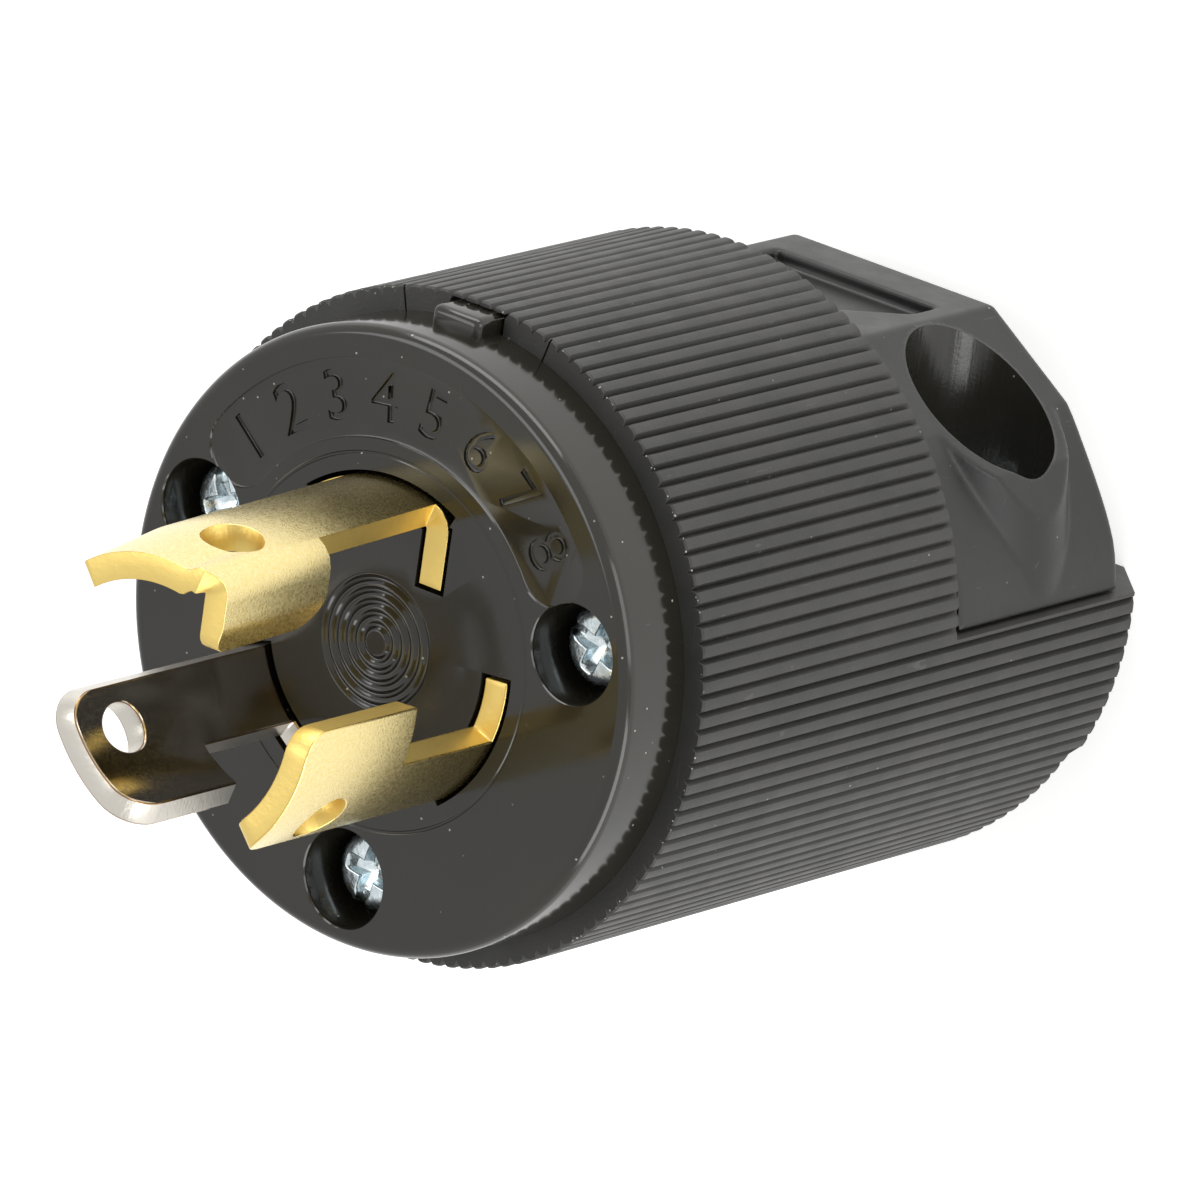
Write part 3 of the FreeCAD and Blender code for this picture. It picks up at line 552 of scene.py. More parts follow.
def new_tree(name, sizes):
    """Geometry Nodes tree with named inputs for its sizes, and the outputs that carry them."""
    tree = bpy.data.node_groups.new(name, "GeometryNodeTree")
    for label, value in sizes.items():
        kind = "NodeSocketInt" if isinstance(value, int) else "NodeSocketFloat"
        tree.interface.new_socket(label, in_out="INPUT", socket_type=kind)
    tree.interface.new_socket("Geometry", in_out="OUTPUT", socket_type="NodeSocketGeometry")
    outputs = add(tree, "NodeGroupInput").outputs
    return tree, {label: outputs[label] for label in sizes}


def grid_places(tree, columns, rows):
    """Grid to be rolled, with each point's angle, its share of the turn and its row number."""
    grid = add(tree, "GeometryNodeMeshGrid", {"Size X": 1.0, "Size Y": 1.0,
                                              "Vertices X": columns, "Vertices Y": rows})
    sides = add(tree, "ShaderNodeSeparateXYZ", {"Vector": add(tree, "GeometryNodeInputPosition")})
    return grid, work_out(tree, {"x": sides.outputs[0], "y": sides.outputs[1]}, [
        ("along", "ADD", "x", 0.5), ("angle", "MULTIPLY", "along", 2 * math.pi),
        ("up", "ADD", "y", 0.5), ("rows up", "MULTIPLY", "up", rows - 1), ("row", "ROUND", "rows up")])


def round_axis(tree, angle, radius, height):
    """Place at an angle and a radius round the plug's axis."""
    side = work_out(tree, {"angle": angle, "radius": radius}, [
        ("cosine", "COSINE", "angle"), ("x", "MULTIPLY", "radius", "cosine"),
        ("sine", "SINE", "angle"), ("y", "MULTIPLY", "radius", "sine")])
    return add(tree, "ShaderNodeCombineXYZ", {0: side["x"], 1: side["y"], 2: height})


def clad(tree, geometry, finish):
    """End of a tree: one real mesh with its finish."""
    real = add(tree, "GeometryNodeRealizeInstances", {"Geometry": geometry})
    dressed = add(tree, "GeometryNodeSetMaterial", {"Material": finish, "Geometry": real})
    add(tree, "NodeGroupOutput", {0: dressed})


def roll(tree, grid, angle, radius, height, finish):
    """Roll the grid round the axis, sew it up and give it its finish."""
    spot = round_axis(tree, angle, radius, height)
    small = add(tree, "ShaderNodeVectorMath", {"operation": "SCALE", "Scale": MM, 0: spot})
    rolled = add(tree, "GeometryNodeSetPosition", {"Geometry": grid, "Position": small})
    sewn = add(tree, "GeometryNodeMergeByDistance", {"Distance": SAME_POINT, "Geometry": rolled})
    clad(tree, sewn, finish)


def rib_tree(finish):
    """Geometry Nodes tree of the ribbed tube, in millimetres scaled at its end."""
    sizes = {
        "Ribs": RIB_COUNT, "Rib tip radius": RIB_TIP, "Rib root radius": RIB_ROOT,
        "Foot radius": FOOT_RADIUS, "Rim height": RIM_HEIGHT, "Columns": RIB_COUNT * COLUMNS_PER_RIB + 1,
    }
    tree, given = new_tree("ribbed barrel", sizes)
    grid, spot = grid_places(tree, given["Columns"], 8)

    # One rib: 0 on its crest, 1 in the middle of the groove
    rib = work_out(tree, {**given, **spot}, [
        ("count", "MULTIPLY", "along", "Ribs"),
        ("phase", "FRACT", "count"),
        ("swing", "MULTIPLY_ADD", "phase", 2.0, -1.0),
        ("groove", "ABSOLUTE", "swing"),
    ])
    rib["drop"] = add(tree, "ShaderNodeMapRange", {"interpolation_type": "SMOOTHSTEP", "Value": rib["groove"],
                                                   "From Min": CREST_SHARE, "From Max": 1.0})
    rib = work_out(tree, rib, [
        ("square", "MULTIPLY", "groove", "groove"),
        ("crown", "MULTIPLY", "square", CROWN),
        ("rounded", "MULTIPLY_ADD", "drop", GROOVE_DROP, "crown"),
        ("sink", "MINIMUM", "rounded", 1.0),
        ("depth", "SUBTRACT", "Rib tip radius", "Rib root radius"),
        ("sunk", "MULTIPLY", "depth", "sink"),
        ("ribbed", "SUBTRACT", "Rib tip radius", "sunk"),
    ])

    # Where the plug's underside is cut back the chamfer starts higher, and beside the jaw the ribs run out
    rib = work_out(tree, rib, [
        ("sine", "SINE", "angle"),
        ("y", "MULTIPLY", "Rib tip radius", "sine"),
        ("cosine", "COSINE", "angle"),
        ("across", "MULTIPLY", "Rib tip radius", "cosine"),
        ("x", "ABSOLUTE", "across"),
        ("low", "LESS_THAN", "y", RELIEF_Y),
        ("inner", "LESS_THAN", "x", RELIEF_X),
        ("low side", "MULTIPLY", "low", "inner"),
        ("relief", "MULTIPLY", "low side", RELIEF_DEPTH),
        ("upper", "GREATER_THAN", "y", LEDGE),
        ("upper drop", "MULTIPLY", "upper", RIB_RUN_OUT),
        ("upper radius", "SUBTRACT", "Rib tip radius", "upper drop"),
        ("run out", "MINIMUM", "ribbed", "upper radius"),
        ("rim radius", "SUBTRACT", "ribbed", RIM_EASE),
        ("chamfer", "SUBTRACT", "ribbed", "Foot radius"),
        ("chamfer end", "ADD", "chamfer", "relief"),
        ("below rim", "SUBTRACT", "Rim height", 3 * RIM_EASE),
        ("rim start", "SUBTRACT", "Rim height", RIM_EASE),
    ])
    foot, ribbed = rib["Foot radius"], rib["ribbed"]
    radii = [foot, foot, ribbed, rib["run out"], ribbed, ribbed, ribbed, rib["rim radius"]]
    heights = [0.0, rib["relief"], rib["chamfer end"], UPPER_END - 0.001, UPPER_END + RIB_RUN_OUT,
               rib["below rim"], rib["rim start"], rib["Rim height"]]
    radius, height = by_row(tree, rib["row"], radii, heights)
    roll(tree, grid, rib["angle"], radius, height, finish)
    return tree, sizes


def grown(name, tree, sizes):
    """Plain mesh object from a Geometry Nodes tree and its named sizes."""
    holder = bpy.data.objects.new(name, bpy.data.meshes.new(name))
    bpy.context.scene.collection.objects.link(holder)
    step = holder.modifiers.new("grow", "NODES")
    step.node_group = tree
    sockets = {item.name: item.identifier for item in tree.interface.items_tree if item.in_out == "INPUT"}
    for label, value in sizes.items():
        step[sockets[label]] = value
    return apply_all(holder)


def close_holes(piece):
    """Close the open ends of a tube with flat faces."""
    bm = bmesh.new()
    bm.from_mesh(piece.data)
    rims = [edge for edge in bm.edges if edge.is_boundary]
    bmesh.ops.edgeloop_fill(bm, edges=rims)
    bmesh.ops.recalc_face_normals(bm, faces=bm.faces)
    bm.to_mesh(piece.data)
    bm.free()
    return piece


barrel = close_holes(grown("barrel", *rib_tree(sparked_nylon)))
print("Barrel blank: %d faces" % len(barrel.data.polygons))

# %% [markdown]
# The blank is now hollowed: the cavity with its three screw posts, the space for the clamp's upper
# jaw, the cord channel with its gripping ridges, the screw holes, and the notch for the key.

# %% Hollow the barrel
CAVITY_RADIUS = 15.43
CAVITY_FLOOR = 19.6
POST_RADIUS = 2.9
POST_TOP = 25.6
SCREW_CIRCLE = 12.75
SCREW_SPOTS = [polar(SCREW_CIRCLE, angle).xy for angle in (15.0, 165.0, 270.0)]
CHANNEL_RADIUS = 7.4
CORD_HOLE_RADIUS = 6.8
RIDGE_HEIGHTS = (3.6, 7.2, 10.8)
RIDGE_HALF = 0.7
RIDGE_RISE = 0.5
SEAM_ANGLES = (74.0, 106.0)
CLAMP_X = 11.0
CLAMP_Z = 10.0
CLAMP_HOLE = 1.95
POCKET_X = (3.7, 14.8)
INSERT_HOLE = 2.1

cavity = rod("cavity", CAVITY_RADIUS, CAVITY_FLOOR, 40, 192)
carve(cavity, [rod("post", POST_RADIUS, CAVITY_FLOOR - 1, POST_TOP, 48, spot) for spot in SCREW_SPOTS])
channel_profile = [(0, -1), (CHANNEL_RADIUS, -1)]
for height in RIDGE_HEIGHTS:
    channel_profile += [(CHANNEL_RADIUS, height - RIDGE_HALF), (CHANNEL_RADIUS - RIDGE_RISE, height),
                        (CHANNEL_RADIUS, height + RIDGE_HALF)]
channel_profile += [(CHANNEL_RADIUS, UPPER_END), (CORD_HOLE_RADIUS, UPPER_END), (CORD_HOLE_RADIUS, 20), (0, 20)]
cutters = [cavity, turned_solid("channel", channel_profile, 96),
           box_solid("jaw space", (-19, LEDGE, -1), (19, 19, UPPER_END)),
           box_solid("notch", (-1.8, 14.4, 38.1), (1.8, 17.3, 40))]
for side in (1, -1):
    cutters.append(rod("screw hole", CLAMP_HOLE, -9.7, 3, 32, (side * CLAMP_X, CLAMP_Z), "Y"))
    left, right = sorted((side * POCKET_X[0], side * POCKET_X[1]))
    cutters.append(box_solid("nut pocket", (left, -7.5, 6.2), (right, -4.6, 13.8)))
for angle in SEAM_ANGLES:
    cutters.append(sector("seam", 15.0, 19.0, angle - 0.2, angle + 0.2, RIM_HEIGHT - 0.15, RIM_HEIGHT + 1))
cutters += [rod("insert hole", INSERT_HOLE, 20.6, 27, 32, spot) for spot in SCREW_SPOTS]
carve(barrel, cutters)
smooth_by_angle(barrel, 35)
barrel.name = "ribbed_barrel"
dress(barrel, sparked_nylon, "ribbed_housing")

# %% [markdown]
# Where a rib ends in a sharp edge, the nylon is torn into tiny burrs. They are lumps of a tenth of a
# millimetre, scattered along the rim by a second tree with a fixed seed. Their pale colour is a painted
# highlight: the thin bright line that light draws along the torn edge.

# %% Burrs on the rim
BURR_COUNT = 110
BURR_SIZE = 0.055
# The burrs' pale colour is a painted highlight, the bright line along the torn rim edge.
burr_glint_finish = moulded_plastic("torn nylon burr with painted glint", "#8a8984", "#b9b7b0", 0.7, 0.05, 0.004)


def burr_glint_tree(finish):
    """Geometry Nodes tree that scatters burrs along the rim, pale as a painted highlight."""
    sizes = {
        "Count": BURR_COUNT, "Ring radius": RIB_TIP - 0.12, "Height": RIM_HEIGHT - 0.03,
        "Burr size": BURR_SIZE, "Seed": 7,
    }
    tree, given = new_tree("rim burr glints", sizes)
    line = add(tree, "GeometryNodeMeshLine", {"Count": given["Count"]})
    turn = add(tree, "FunctionNodeRandomValue", {"data_type": "FLOAT", 3: 2 * math.pi, "Seed": given["Seed"]})
    wander = add(tree, "FunctionNodeRandomValue", {"data_type": "FLOAT", 2: -0.12, 3: 0.06,
                                                   "Seed": given["Count"]})
    ring = work_out(tree, {**given, "wander": wander.outputs[1]}, [("radius", "ADD", "Ring radius", "wander")])
    spot = round_axis(tree, turn.outputs[1], ring["radius"], given["Height"])
    spread = add(tree, "GeometryNodeSetPosition", {"Geometry": line, "Position": spot})
    ball = add(tree, "GeometryNodeMeshIcoSphere", {"Subdivisions": 2, "Radius": given["Burr size"]})
    stretch = add(tree, "FunctionNodeRandomValue", {"data_type": "FLOAT_VECTOR", "Seed": given["Seed"],
                                                    0: (0.4, 0.4, 0.4), 1: (1.5, 1.2, 1.1)})
    lean = add(tree, "FunctionNodeRandomValue", {"data_type": "FLOAT_VECTOR", 1: (6.28, 6.28, 6.28),
                                                 "Seed": given["Seed"]})
    scattered = add(tree, "GeometryNodeInstanceOnPoints", {"Points": spread, "Instance": ball, "Scale": stretch,
                                                           "Rotation": lean})
    small = add(tree, "GeometryNodeTransform", {
        "Scale": (MM, MM, MM), "Geometry": add(tree, "GeometryNodeRealizeInstances", {"Geometry": scattered})})
    clad(tree, small, finish)
    return tree, sizes


burrs = grown("rim_burr_glints", *burr_glint_tree(burr_glint_finish))
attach(burrs, "root")
print("Burrs: %d faces" % len(burrs.data.polygons))

# %% [markdown]
# The face is turned like a moulding tool: a round cap with an eased edge, a fine circle line round the
# blades and a boss of concentric rings at its centre. Wells, blade slots and a shallow band are cut
# into it. The band carries plain numbers, engraved with rounded strokes, in place of the lettering.

# %% Face cap
CAP_BACK = 36.55
CAP_RADIUS = 16.3
SPIGOT_RADIUS = 15.13
EDGE_ROUND = 0.65
RING_STEP = 0.6
RING_RADII = [RING_STEP * (number + 0.5) for number in range(1, 6)]
RING_DEPTH = 0.22
RING_HALF_WIDTH = 0.3
PROFILE_STEP = 0.05
CIRCLE_LINE = 9.75
BAND_INNER = 10.5
BAND_OUTER = 14.6
BAND_ENDS = (35.0, 145.0)
BAND_FLOOR = FACE_HEIGHT - 0.12
WELL_RADIUS = 2.55
WELL_FLOOR = 40.0
SCREW_HOLE = 1.55
BLADE_INNER = 7.2
BLADE_OUTER = 8.6
SLOT_GAP = 0.25
BLADE_ANGLES = ((-51.5, 3.5), (-161.5, -106.5), (65.25, 129.0))


def ring_drop(radius):
    """Depth of the concentric rings at a radius, with rounded valleys."""
    nearest = min(abs(radius - ring) for ring in RING_RADII) / RING_HALF_WIDTH
    return RING_DEPTH * math.cos(math.pi / 2 * nearest) ** 2 if nearest < 1 else 0.0


profile = [(0, CAP_BACK), (SPIGOT_RADIUS, CAP_BACK), (SPIGOT_RADIUS, RIM_HEIGHT), (CAP_RADIUS, RIM_HEIGHT)]
for step in range(11):
    turn = math.radians(9 * step)
    profile.append((CAP_RADIUS - EDGE_ROUND + EDGE_ROUND * math.cos(turn),
                    FACE_HEIGHT - EDGE_ROUND + EDGE_ROUND * math.sin(turn)))
profile.append((CAP_RADIUS - EDGE_ROUND - 0.08, FACE_HEIGHT))
for offset, drop in ((0.1, 0), (0.05, 0.05), (-0.05, 0.05), (-0.1, 0)):
    profile.append((CIRCLE_LINE + offset, FACE_HEIGHT - drop))
for step in range(72, 0, -1):
    profile.append((step * PROFILE_STEP, FACE_HEIGHT - ring_drop(step * PROFILE_STEP)))
profile.append((0, FACE_HEIGHT))
face = turned_solid("glossy_face", profile, 192)

lug = box_solid("lug", (-1.6, 15.1, 38.2), (1.6, 17.2, 40.7))
rounding = lug.modifiers.new("rounding", "BEVEL")
rounding.width = 0.45 * MM
rounding.segments = 5
carve(face, [apply_all(lug)], "UNION")


def band_outline(inset):
    """Outline of the shallow band, drawn inwards by an inset."""
    middle = (BAND_INNER + BAND_OUTER) / 2
    half = (BAND_OUTER - BAND_INNER) / 2 - inset
    first, last = BAND_ENDS
    ends = [polar(middle, angle) for angle in BAND_ENDS]
    outline = arc(middle + half, first, last, 60)[:-1]
    outline += arc(half, last, last + 180, 16, (ends[1].x, ends[1].y))[:-1]
    outline += arc(middle - half, last, first, 60)[:-1]
    outline += arc(half, first + 180, first + 360, 16, (ends[0].x, ends[0].y))[:-1]
    return outline


cutters = [loft("band", [(band_outline(0.14), BAND_FLOOR), (band_outline(0.05), BAND_FLOOR + 0.03),
                         (band_outline(0), BAND_FLOOR + 0.12), (band_outline(0), 45)])]
well_profile = [(0, WELL_FLOOR), (WELL_RADIUS - 0.15, WELL_FLOOR), (WELL_RADIUS, WELL_FLOOR + 0.15),
                (WELL_RADIUS, FACE_HEIGHT - 0.2), (WELL_RADIUS + 0.03, FACE_HEIGHT - 0.08),
                (WELL_RADIUS + 0.12, FACE_HEIGHT + 0.02), (WELL_RADIUS + 0.12, 45), (0, 45)]
for spot in SCREW_SPOTS:
    cutters.append(turned_solid("well", well_profile, 72, spot))
    cutters.append(rod("hole", SCREW_HOLE, 36, 41, 32, spot))
gap = math.degrees(SLOT_GAP / BLADE_OUTER)
for start, end in BLADE_ANGLES:
    cutters.append(sector("slot", BLADE_INNER - SLOT_GAP, BLADE_OUTER + SLOT_GAP, start - gap, end + gap, 36, 45))
cutters.append(box_solid("leg slot", (1.95, 3.65, 36), (3.85, 7.3, 45)))
carve(face, cutters)
print("Face blank: %d faces" % len(face.data.polygons))

# %% [markdown]
# Each number is a text outline with a round bevel, so its stroke cuts a soft groove. The text is
# turned into a mesh at once and sunk into the band, its top pointing outwards as on a dial.

# %% Plain numbers in the band
NUMBERS = "12345678"
NUMBER_HEIGHT = 3.7
NUMBER_DEPTH = 0.2
STROKE_ROUND = 0.07


def number_cutter(character, angle):
    """Solid of one digit, set into the band at an angle."""
    text = bpy.data.curves.new("number", "FONT")
    text.body = character
    text.size = NUMBER_HEIGHT * MM
    text.align_x = "CENTER"
    text.align_y = "CENTER"
    text.resolution_u = 4
    text.offset = -0.05 * MM
    text.extrude = 0.1 * MM
    text.bevel_depth = STROKE_ROUND * MM
    text.bevel_resolution = 2
    holder = bpy.data.objects.new("number", text)
    bpy.context.scene.collection.objects.link(holder)
    mesh = bpy.data.meshes.new_from_object(holder.evaluated_get(bpy.context.evaluated_depsgraph_get()))
    bpy.data.objects.remove(holder)
    height = BAND_FLOOR - NUMBER_DEPTH + STROKE_ROUND + 0.1
    mesh.transform(Matrix.Translation(polar((BAND_INNER + BAND_OUTER) / 2, angle, height) * MM)
                   @ Matrix.Rotation(math.radians(angle - 90), 4, "Z"))
    bm = bmesh.new()
    bm.from_mesh(mesh)
    bmesh.ops.remove_doubles(bm, verts=bm.verts, dist=SAME_POINT)
    return mesh_object("number", bm)


step_angle = (BAND_ENDS[1] - BAND_ENDS[0] - 8) / (len(NUMBERS) - 1)
numbers = [number_cutter(digit, BAND_ENDS[1] - 4 - step_angle * k) for k, digit in enumerate(NUMBERS)]
carve(face, [joined("numbers", numbers)], tangled=True)
smooth_by_angle(face, 32)
dress(face, face_phenolic, "face_cap")

# %% [markdown]
# Each blade is made as a toolmaker would: punched flat out of sheet, its sheared edges eased, then
# rolled to the blades' circle. On the flat sheet, x runs counter-clockwise along the circle, y is the
# height on the plug and z the depth in the sheet. Faces across the sheet are marked as sheared.

# %% Sheet metal helpers
SHEET = 1.4
MIDDLE_RADIUS = (BLADE_INNER + BLADE_OUTER) / 2
TAIL_FOOT = 25.95
TAIL_HALF = MIDDLE_RADIUS * math.radians(29.0)
TERMINAL_HEIGHT = 30.95
TERMINAL_HOLE = 1.75
EDGE_EASE = 0.13
FLAT_ENOUGH = 0.02
CUT_STEP = 0.3


def share(value, start, end):
    """How far a value is from a start to an end, from 0 to 1, with a soft change."""
    way = min(max((value - start) / (end - start), 0.0), 1.0)
    return way * way * (3 - 2 * way)


def filleted(corners, steps=8):
    """Outline from corners with a radius each, the radius turned into an arc."""
    points = []
    for k, (x, y, radius) in enumerate(corners):
        here = Vector((x, y))
        if not radius:
            points.append(here)
            continue
        before = (Vector(corners[k - 1][:2]) - here).normalized()
        after = (Vector(corners[(k + 1) % len(corners)][:2]) - here).normalized()
        half = before.angle(after) / 2
        centre = here + (before + after).normalized() * radius / math.sin(half)
        first = here + before * radius / math.tan(half) - centre
        last = here + after * radius / math.tan(half) - centre
        points += [centre + first.slerp(last, step / steps) * radius for step in range(steps + 1)]
    return points


def pressed_sheet(name, corners, holes, bend, levels=()):
    """Blade punched from sheet by an outline with round holes, then bent by a rule for each point."""
    outline = filleted(corners)
    piece = loft(name, [(outline, 0), (outline, SHEET)])
    drills = [rod("drill", radius, -1, 3, 48, (x, y)) for x, y, radius in holes]
    carve(piece, drills)
    easing = piece.modifiers.new("easing", "BEVEL")
    easing.width = EDGE_EASE * MM
    easing.segments = 2
    easing.limit_method = "ANGLE"
    easing.angle_limit = math.radians(30)
    apply_all(piece)
    bm = bmesh.new()
    bm.from_mesh(piece.data)
    sheared = bm.faces.layers.float.new("sheared")
    for surface in bm.faces:
        surface[sheared] = 1 - abs(surface.normal.z)
    for edge in bm.edges:
        edge.smooth = len({surface[sheared] > FLAT_ENOUGH for surface in edge.link_faces}) == 1
    low = min(x for x, y in outline)
    high = max(x for x, y in outline)
    cuts = [((low + CUT_STEP * k, 0), (1, 0, 0)) for k in range(1, int((high - low) / CUT_STEP) + 1)]
    cuts += [((0, level), (0, 1, 0)) for level in levels]
    for (x, y), across in cuts:
        bmesh.ops.bisect_plane(bm, geom=bm.verts[:] + bm.edges[:] + bm.faces[:], dist=SAME_POINT,
                               plane_co=mm(x, y, 0), plane_no=across)
    for vertex in bm.verts:
        along, height, depth = vertex.co / MM
        vertex.co = bend(along, height, depth) * MM
    bmesh.ops.recalc_face_normals(bm, faces=bm.faces)
    for surface in bm.faces:
        surface.smooth = True
    bm.to_mesh(piece.data)
    bm.free()
    piece.modifiers.new("even", "WEIGHTED_NORMAL").keep_sharp = True
    return apply_all(piece)


# %% [markdown]
# The two current blades are the same sheet with one notch each. In the photograph the tips are
# cropped a little aslant and their corners are rounded differently, so each blade has its own.

# %% Current blades
HALF_WIDTH = MIDDLE_RADIUS * math.radians(27.5)
NECK = MIDDLE_RADIUS * math.radians(5.8)
SHOULDER = FACE_HEIGHT + 7.0


def current_blade(name, centre, tip, slope, rounds, hole):
    """Blade at an angle, its tip at a height on the clockwise side and sloped, with two corner rounds."""
    ccw_round, cw_round = rounds
    corners = [
        (-TAIL_HALF, TAIL_FOOT, 0), (TAIL_HALF, TAIL_FOOT, 0), (TAIL_HALF, CAP_BACK, 0), (HALF_WIDTH, CAP_BACK, 0),
        (HALF_WIDTH, FACE_HEIGHT, 0), (NECK, FACE_HEIGHT, 0), (NECK, SHOULDER, 0.15), (HALF_WIDTH, SHOULDER, 0),
        (HALF_WIDTH, tip - slope * HALF_WIDTH, ccw_round), (-HALF_WIDTH, tip + slope * HALF_WIDTH, cw_round),
        (-HALF_WIDTH, CAP_BACK, 0), (-TAIL_HALF, CAP_BACK, 0)]

    def rolled(along, height, depth):
        """Place of a flat point on the blades' circle."""
        return polar(BLADE_INNER + depth, centre + math.degrees(along / MIDDLE_RADIUS), height)

    return pressed_sheet(name, corners, [hole, (0, TERMINAL_HEIGHT, TERMINAL_HOLE)], rolled)


hot = current_blade("brass_blade", -24.0, FACE_HEIGHT + 15.5, 0.04, (1.4, 1.4),
                    (-1.86, FACE_HEIGHT + 11.3, 1.45))
dress(hot, rolled_brass, "hot_blade")
neutral = current_blade("nickel_blade", -134.0, FACE_HEIGHT + 15.1, 0.08, (2.2, 1.6),
                        (-1.31, FACE_HEIGHT + 12.0, 1.45))
dress(neutral, nickel_plate, "neutral_blade")

# %% [markdown]
# The earth blade is longer. Beyond a tight bend its clockwise side runs straight inwards as a leg,
# whose outer face is bevelled. Its neck ends where the bend starts, and the round part of its tip is
# coined inwards, which leaves a soft step.

# %% Earth blade
EARTH_CENTRE = 97.0
EARTH_TIP = FACE_HEIGHT + 17.8
EARTH_SHOULDER = FACE_HEIGHT + 9.1
EARTH_CCW = MIDDLE_RADIUS * math.radians(32.0)
EARTH_NECK = MIDDLE_RADIUS * math.radians(16.0)
LEG_X = 2.9
LEG_END_Y = 3.9
LEG_BEVEL = 1.4
BEVEL_DEPTH = 0.35
BEND_RADIUS = 0.8
BEND_X = LEG_X - BEND_RADIUS
BEND_CENTRE = Vector((BEND_X, math.sqrt((MIDDLE_RADIUS - BEND_RADIUS) ** 2 - BEND_X ** 2)))
BEND_ANGLE = math.atan2(BEND_CENTRE.y, BEND_CENTRE.x)
BEND_START = MIDDLE_RADIUS * (BEND_ANGLE - math.radians(EARTH_CENTRE))
BEND_END = BEND_START - BEND_RADIUS * BEND_ANGLE
LEG_END = BEND_END - (BEND_CENTRE.y - LEG_END_Y)
COIN_START = EARTH_TIP - 5.0
EARTH_LEAN = 0.03
COIN_LEAN = 0.11


def bent(along, height, depth):
    """Place of a flat point of the earth blade: rolled, then round the bend, then down the leg."""
    out = depth - SHEET / 2
    if along > BEND_START:
        spot = polar(MIDDLE_RADIUS + out, EARTH_CENTRE + math.degrees(along / MIDDLE_RADIUS), height)
    elif along > BEND_END:
        spot = polar(BEND_RADIUS + out, math.degrees(BEND_ANGLE + (along - BEND_START) / BEND_RADIUS), height)
        spot += Vector((BEND_CENTRE.x, BEND_CENTRE.y, 0))
    else:
        thin = max(0.0, 1 - (along - LEG_END) / LEG_BEVEL) if height > EARTH_SHOULDER else 0.0
        bevel = BEVEL_DEPTH * thin
        spot = Vector((LEG_X + out - bevel * depth / SHEET, BEND_CENTRE.y + along - BEND_END, height))
    lean = EARTH_LEAN * max(0.0, height - FACE_HEIGHT)
    lean += COIN_LEAN * max(0.0, height - COIN_START) * share(along, -3.1, -2.2)
    return spot - polar(lean, EARTH_CENTRE)


earth_corners = [
    (-TAIL_HALF, TAIL_FOOT, 0), (TAIL_HALF, TAIL_FOOT, 0), (TAIL_HALF, CAP_BACK, 0), (EARTH_CCW, CAP_BACK, 0),
    (EARTH_CCW, FACE_HEIGHT, 0), (EARTH_NECK, FACE_HEIGHT, 0), (EARTH_NECK, EARTH_SHOULDER, 0.15),
    (EARTH_CCW, EARTH_SHOULDER, 0), (EARTH_CCW, EARTH_TIP, 0.5), (-3.3, EARTH_TIP, 0),
    (-3.9, EARTH_TIP - 0.7, 0.5), (LEG_END, EARTH_TIP - 0.7, 0.8), (LEG_END, EARTH_SHOULDER, 2.0),
    (BEND_START, EARTH_SHOULDER, 0.15), (BEND_START, FACE_HEIGHT, 0), (LEG_END, FACE_HEIGHT, 0),
    (LEG_END, CAP_BACK, 0), (-TAIL_HALF, CAP_BACK, 0)]
earth_holes = [(-1.45, EARTH_TIP - 4.4, 1.55), (0, TERMINAL_HEIGHT, TERMINAL_HOLE)]
earth = pressed_sheet("earth_blade", earth_corners, earth_holes, bent, (FACE_HEIGHT, COIN_START, EARTH_TIP - 2.5))
dress(earth, rolled_brass, "ground_blade")

# %% [markdown]
# The jaw's bosses flow into its sloped sides with soft fillets. Screwed down without a cord, it
# settles on the lower half, and its sides flare out to the barrel there. Its wells are wide at the
# mouth and marked as polished, which makes them glossier and paints a paler sheen into them.

# %% Jaw
WELL_MOUTH = 4.2
WELL_FOOT = 3.8
WELL_BOTTOM = 3.6
FLARE = 1.0
SETTLE = 0.4


def polished_sheen_well(place):
    """1 inside the jaw's screw wells, which are glossier and painted with a paler sheen, 0 elsewhere."""
    off = math.hypot(abs(place.x) - CLAMP_X, place.z - CLAMP_Z)
    return 1.0 if off < WELL_MOUTH + 0.1 and place.y > WELL_BOTTOM - 0.1 else 0.0


well = [(0, WELL_BOTTOM), (WELL_FOOT, WELL_BOTTOM), (WELL_MOUTH, 8), (WELL_MOUTH, 18), (0, 18)]
mouths = [turned_solid("mouth", well, 72, (side * CLAMP_X, CLAMP_Z), "Y") for side in (1, -1)]
jaw = remeshed("upper_clamp_jaw", "smooth_jaw", 0.16, 3)
carve(jaw, mouths)
smooth_by_angle(jaw, 40)
for vertex in jaw.data.vertices:
    x, y = (vertex.co / MM).xy
    out = share(y, 9.0, 2.0) * share(math.hypot(x, y), 12.0, 15.0)
    vertex.co += mm(math.copysign(FLARE * out, x), -SETTLE * share(y, 4.0, 2.0), 0)
mark_points(jaw, "polished", polished_sheen_well)
dress(jaw, satin_nylon, "upper_clamp_jaw")

# %% [markdown]
# The five screws repeat one pattern in two sizes: a pan head with a rounded rim, a slot across it
# and a deeper four-armed cross in its middle. A third tree rolls a grid into the whole screw and
# sinks the head's points where the drive passes.

# %% Screws by a rule
TOP_ROWS = 44
SCREW_COLUMNS = 145


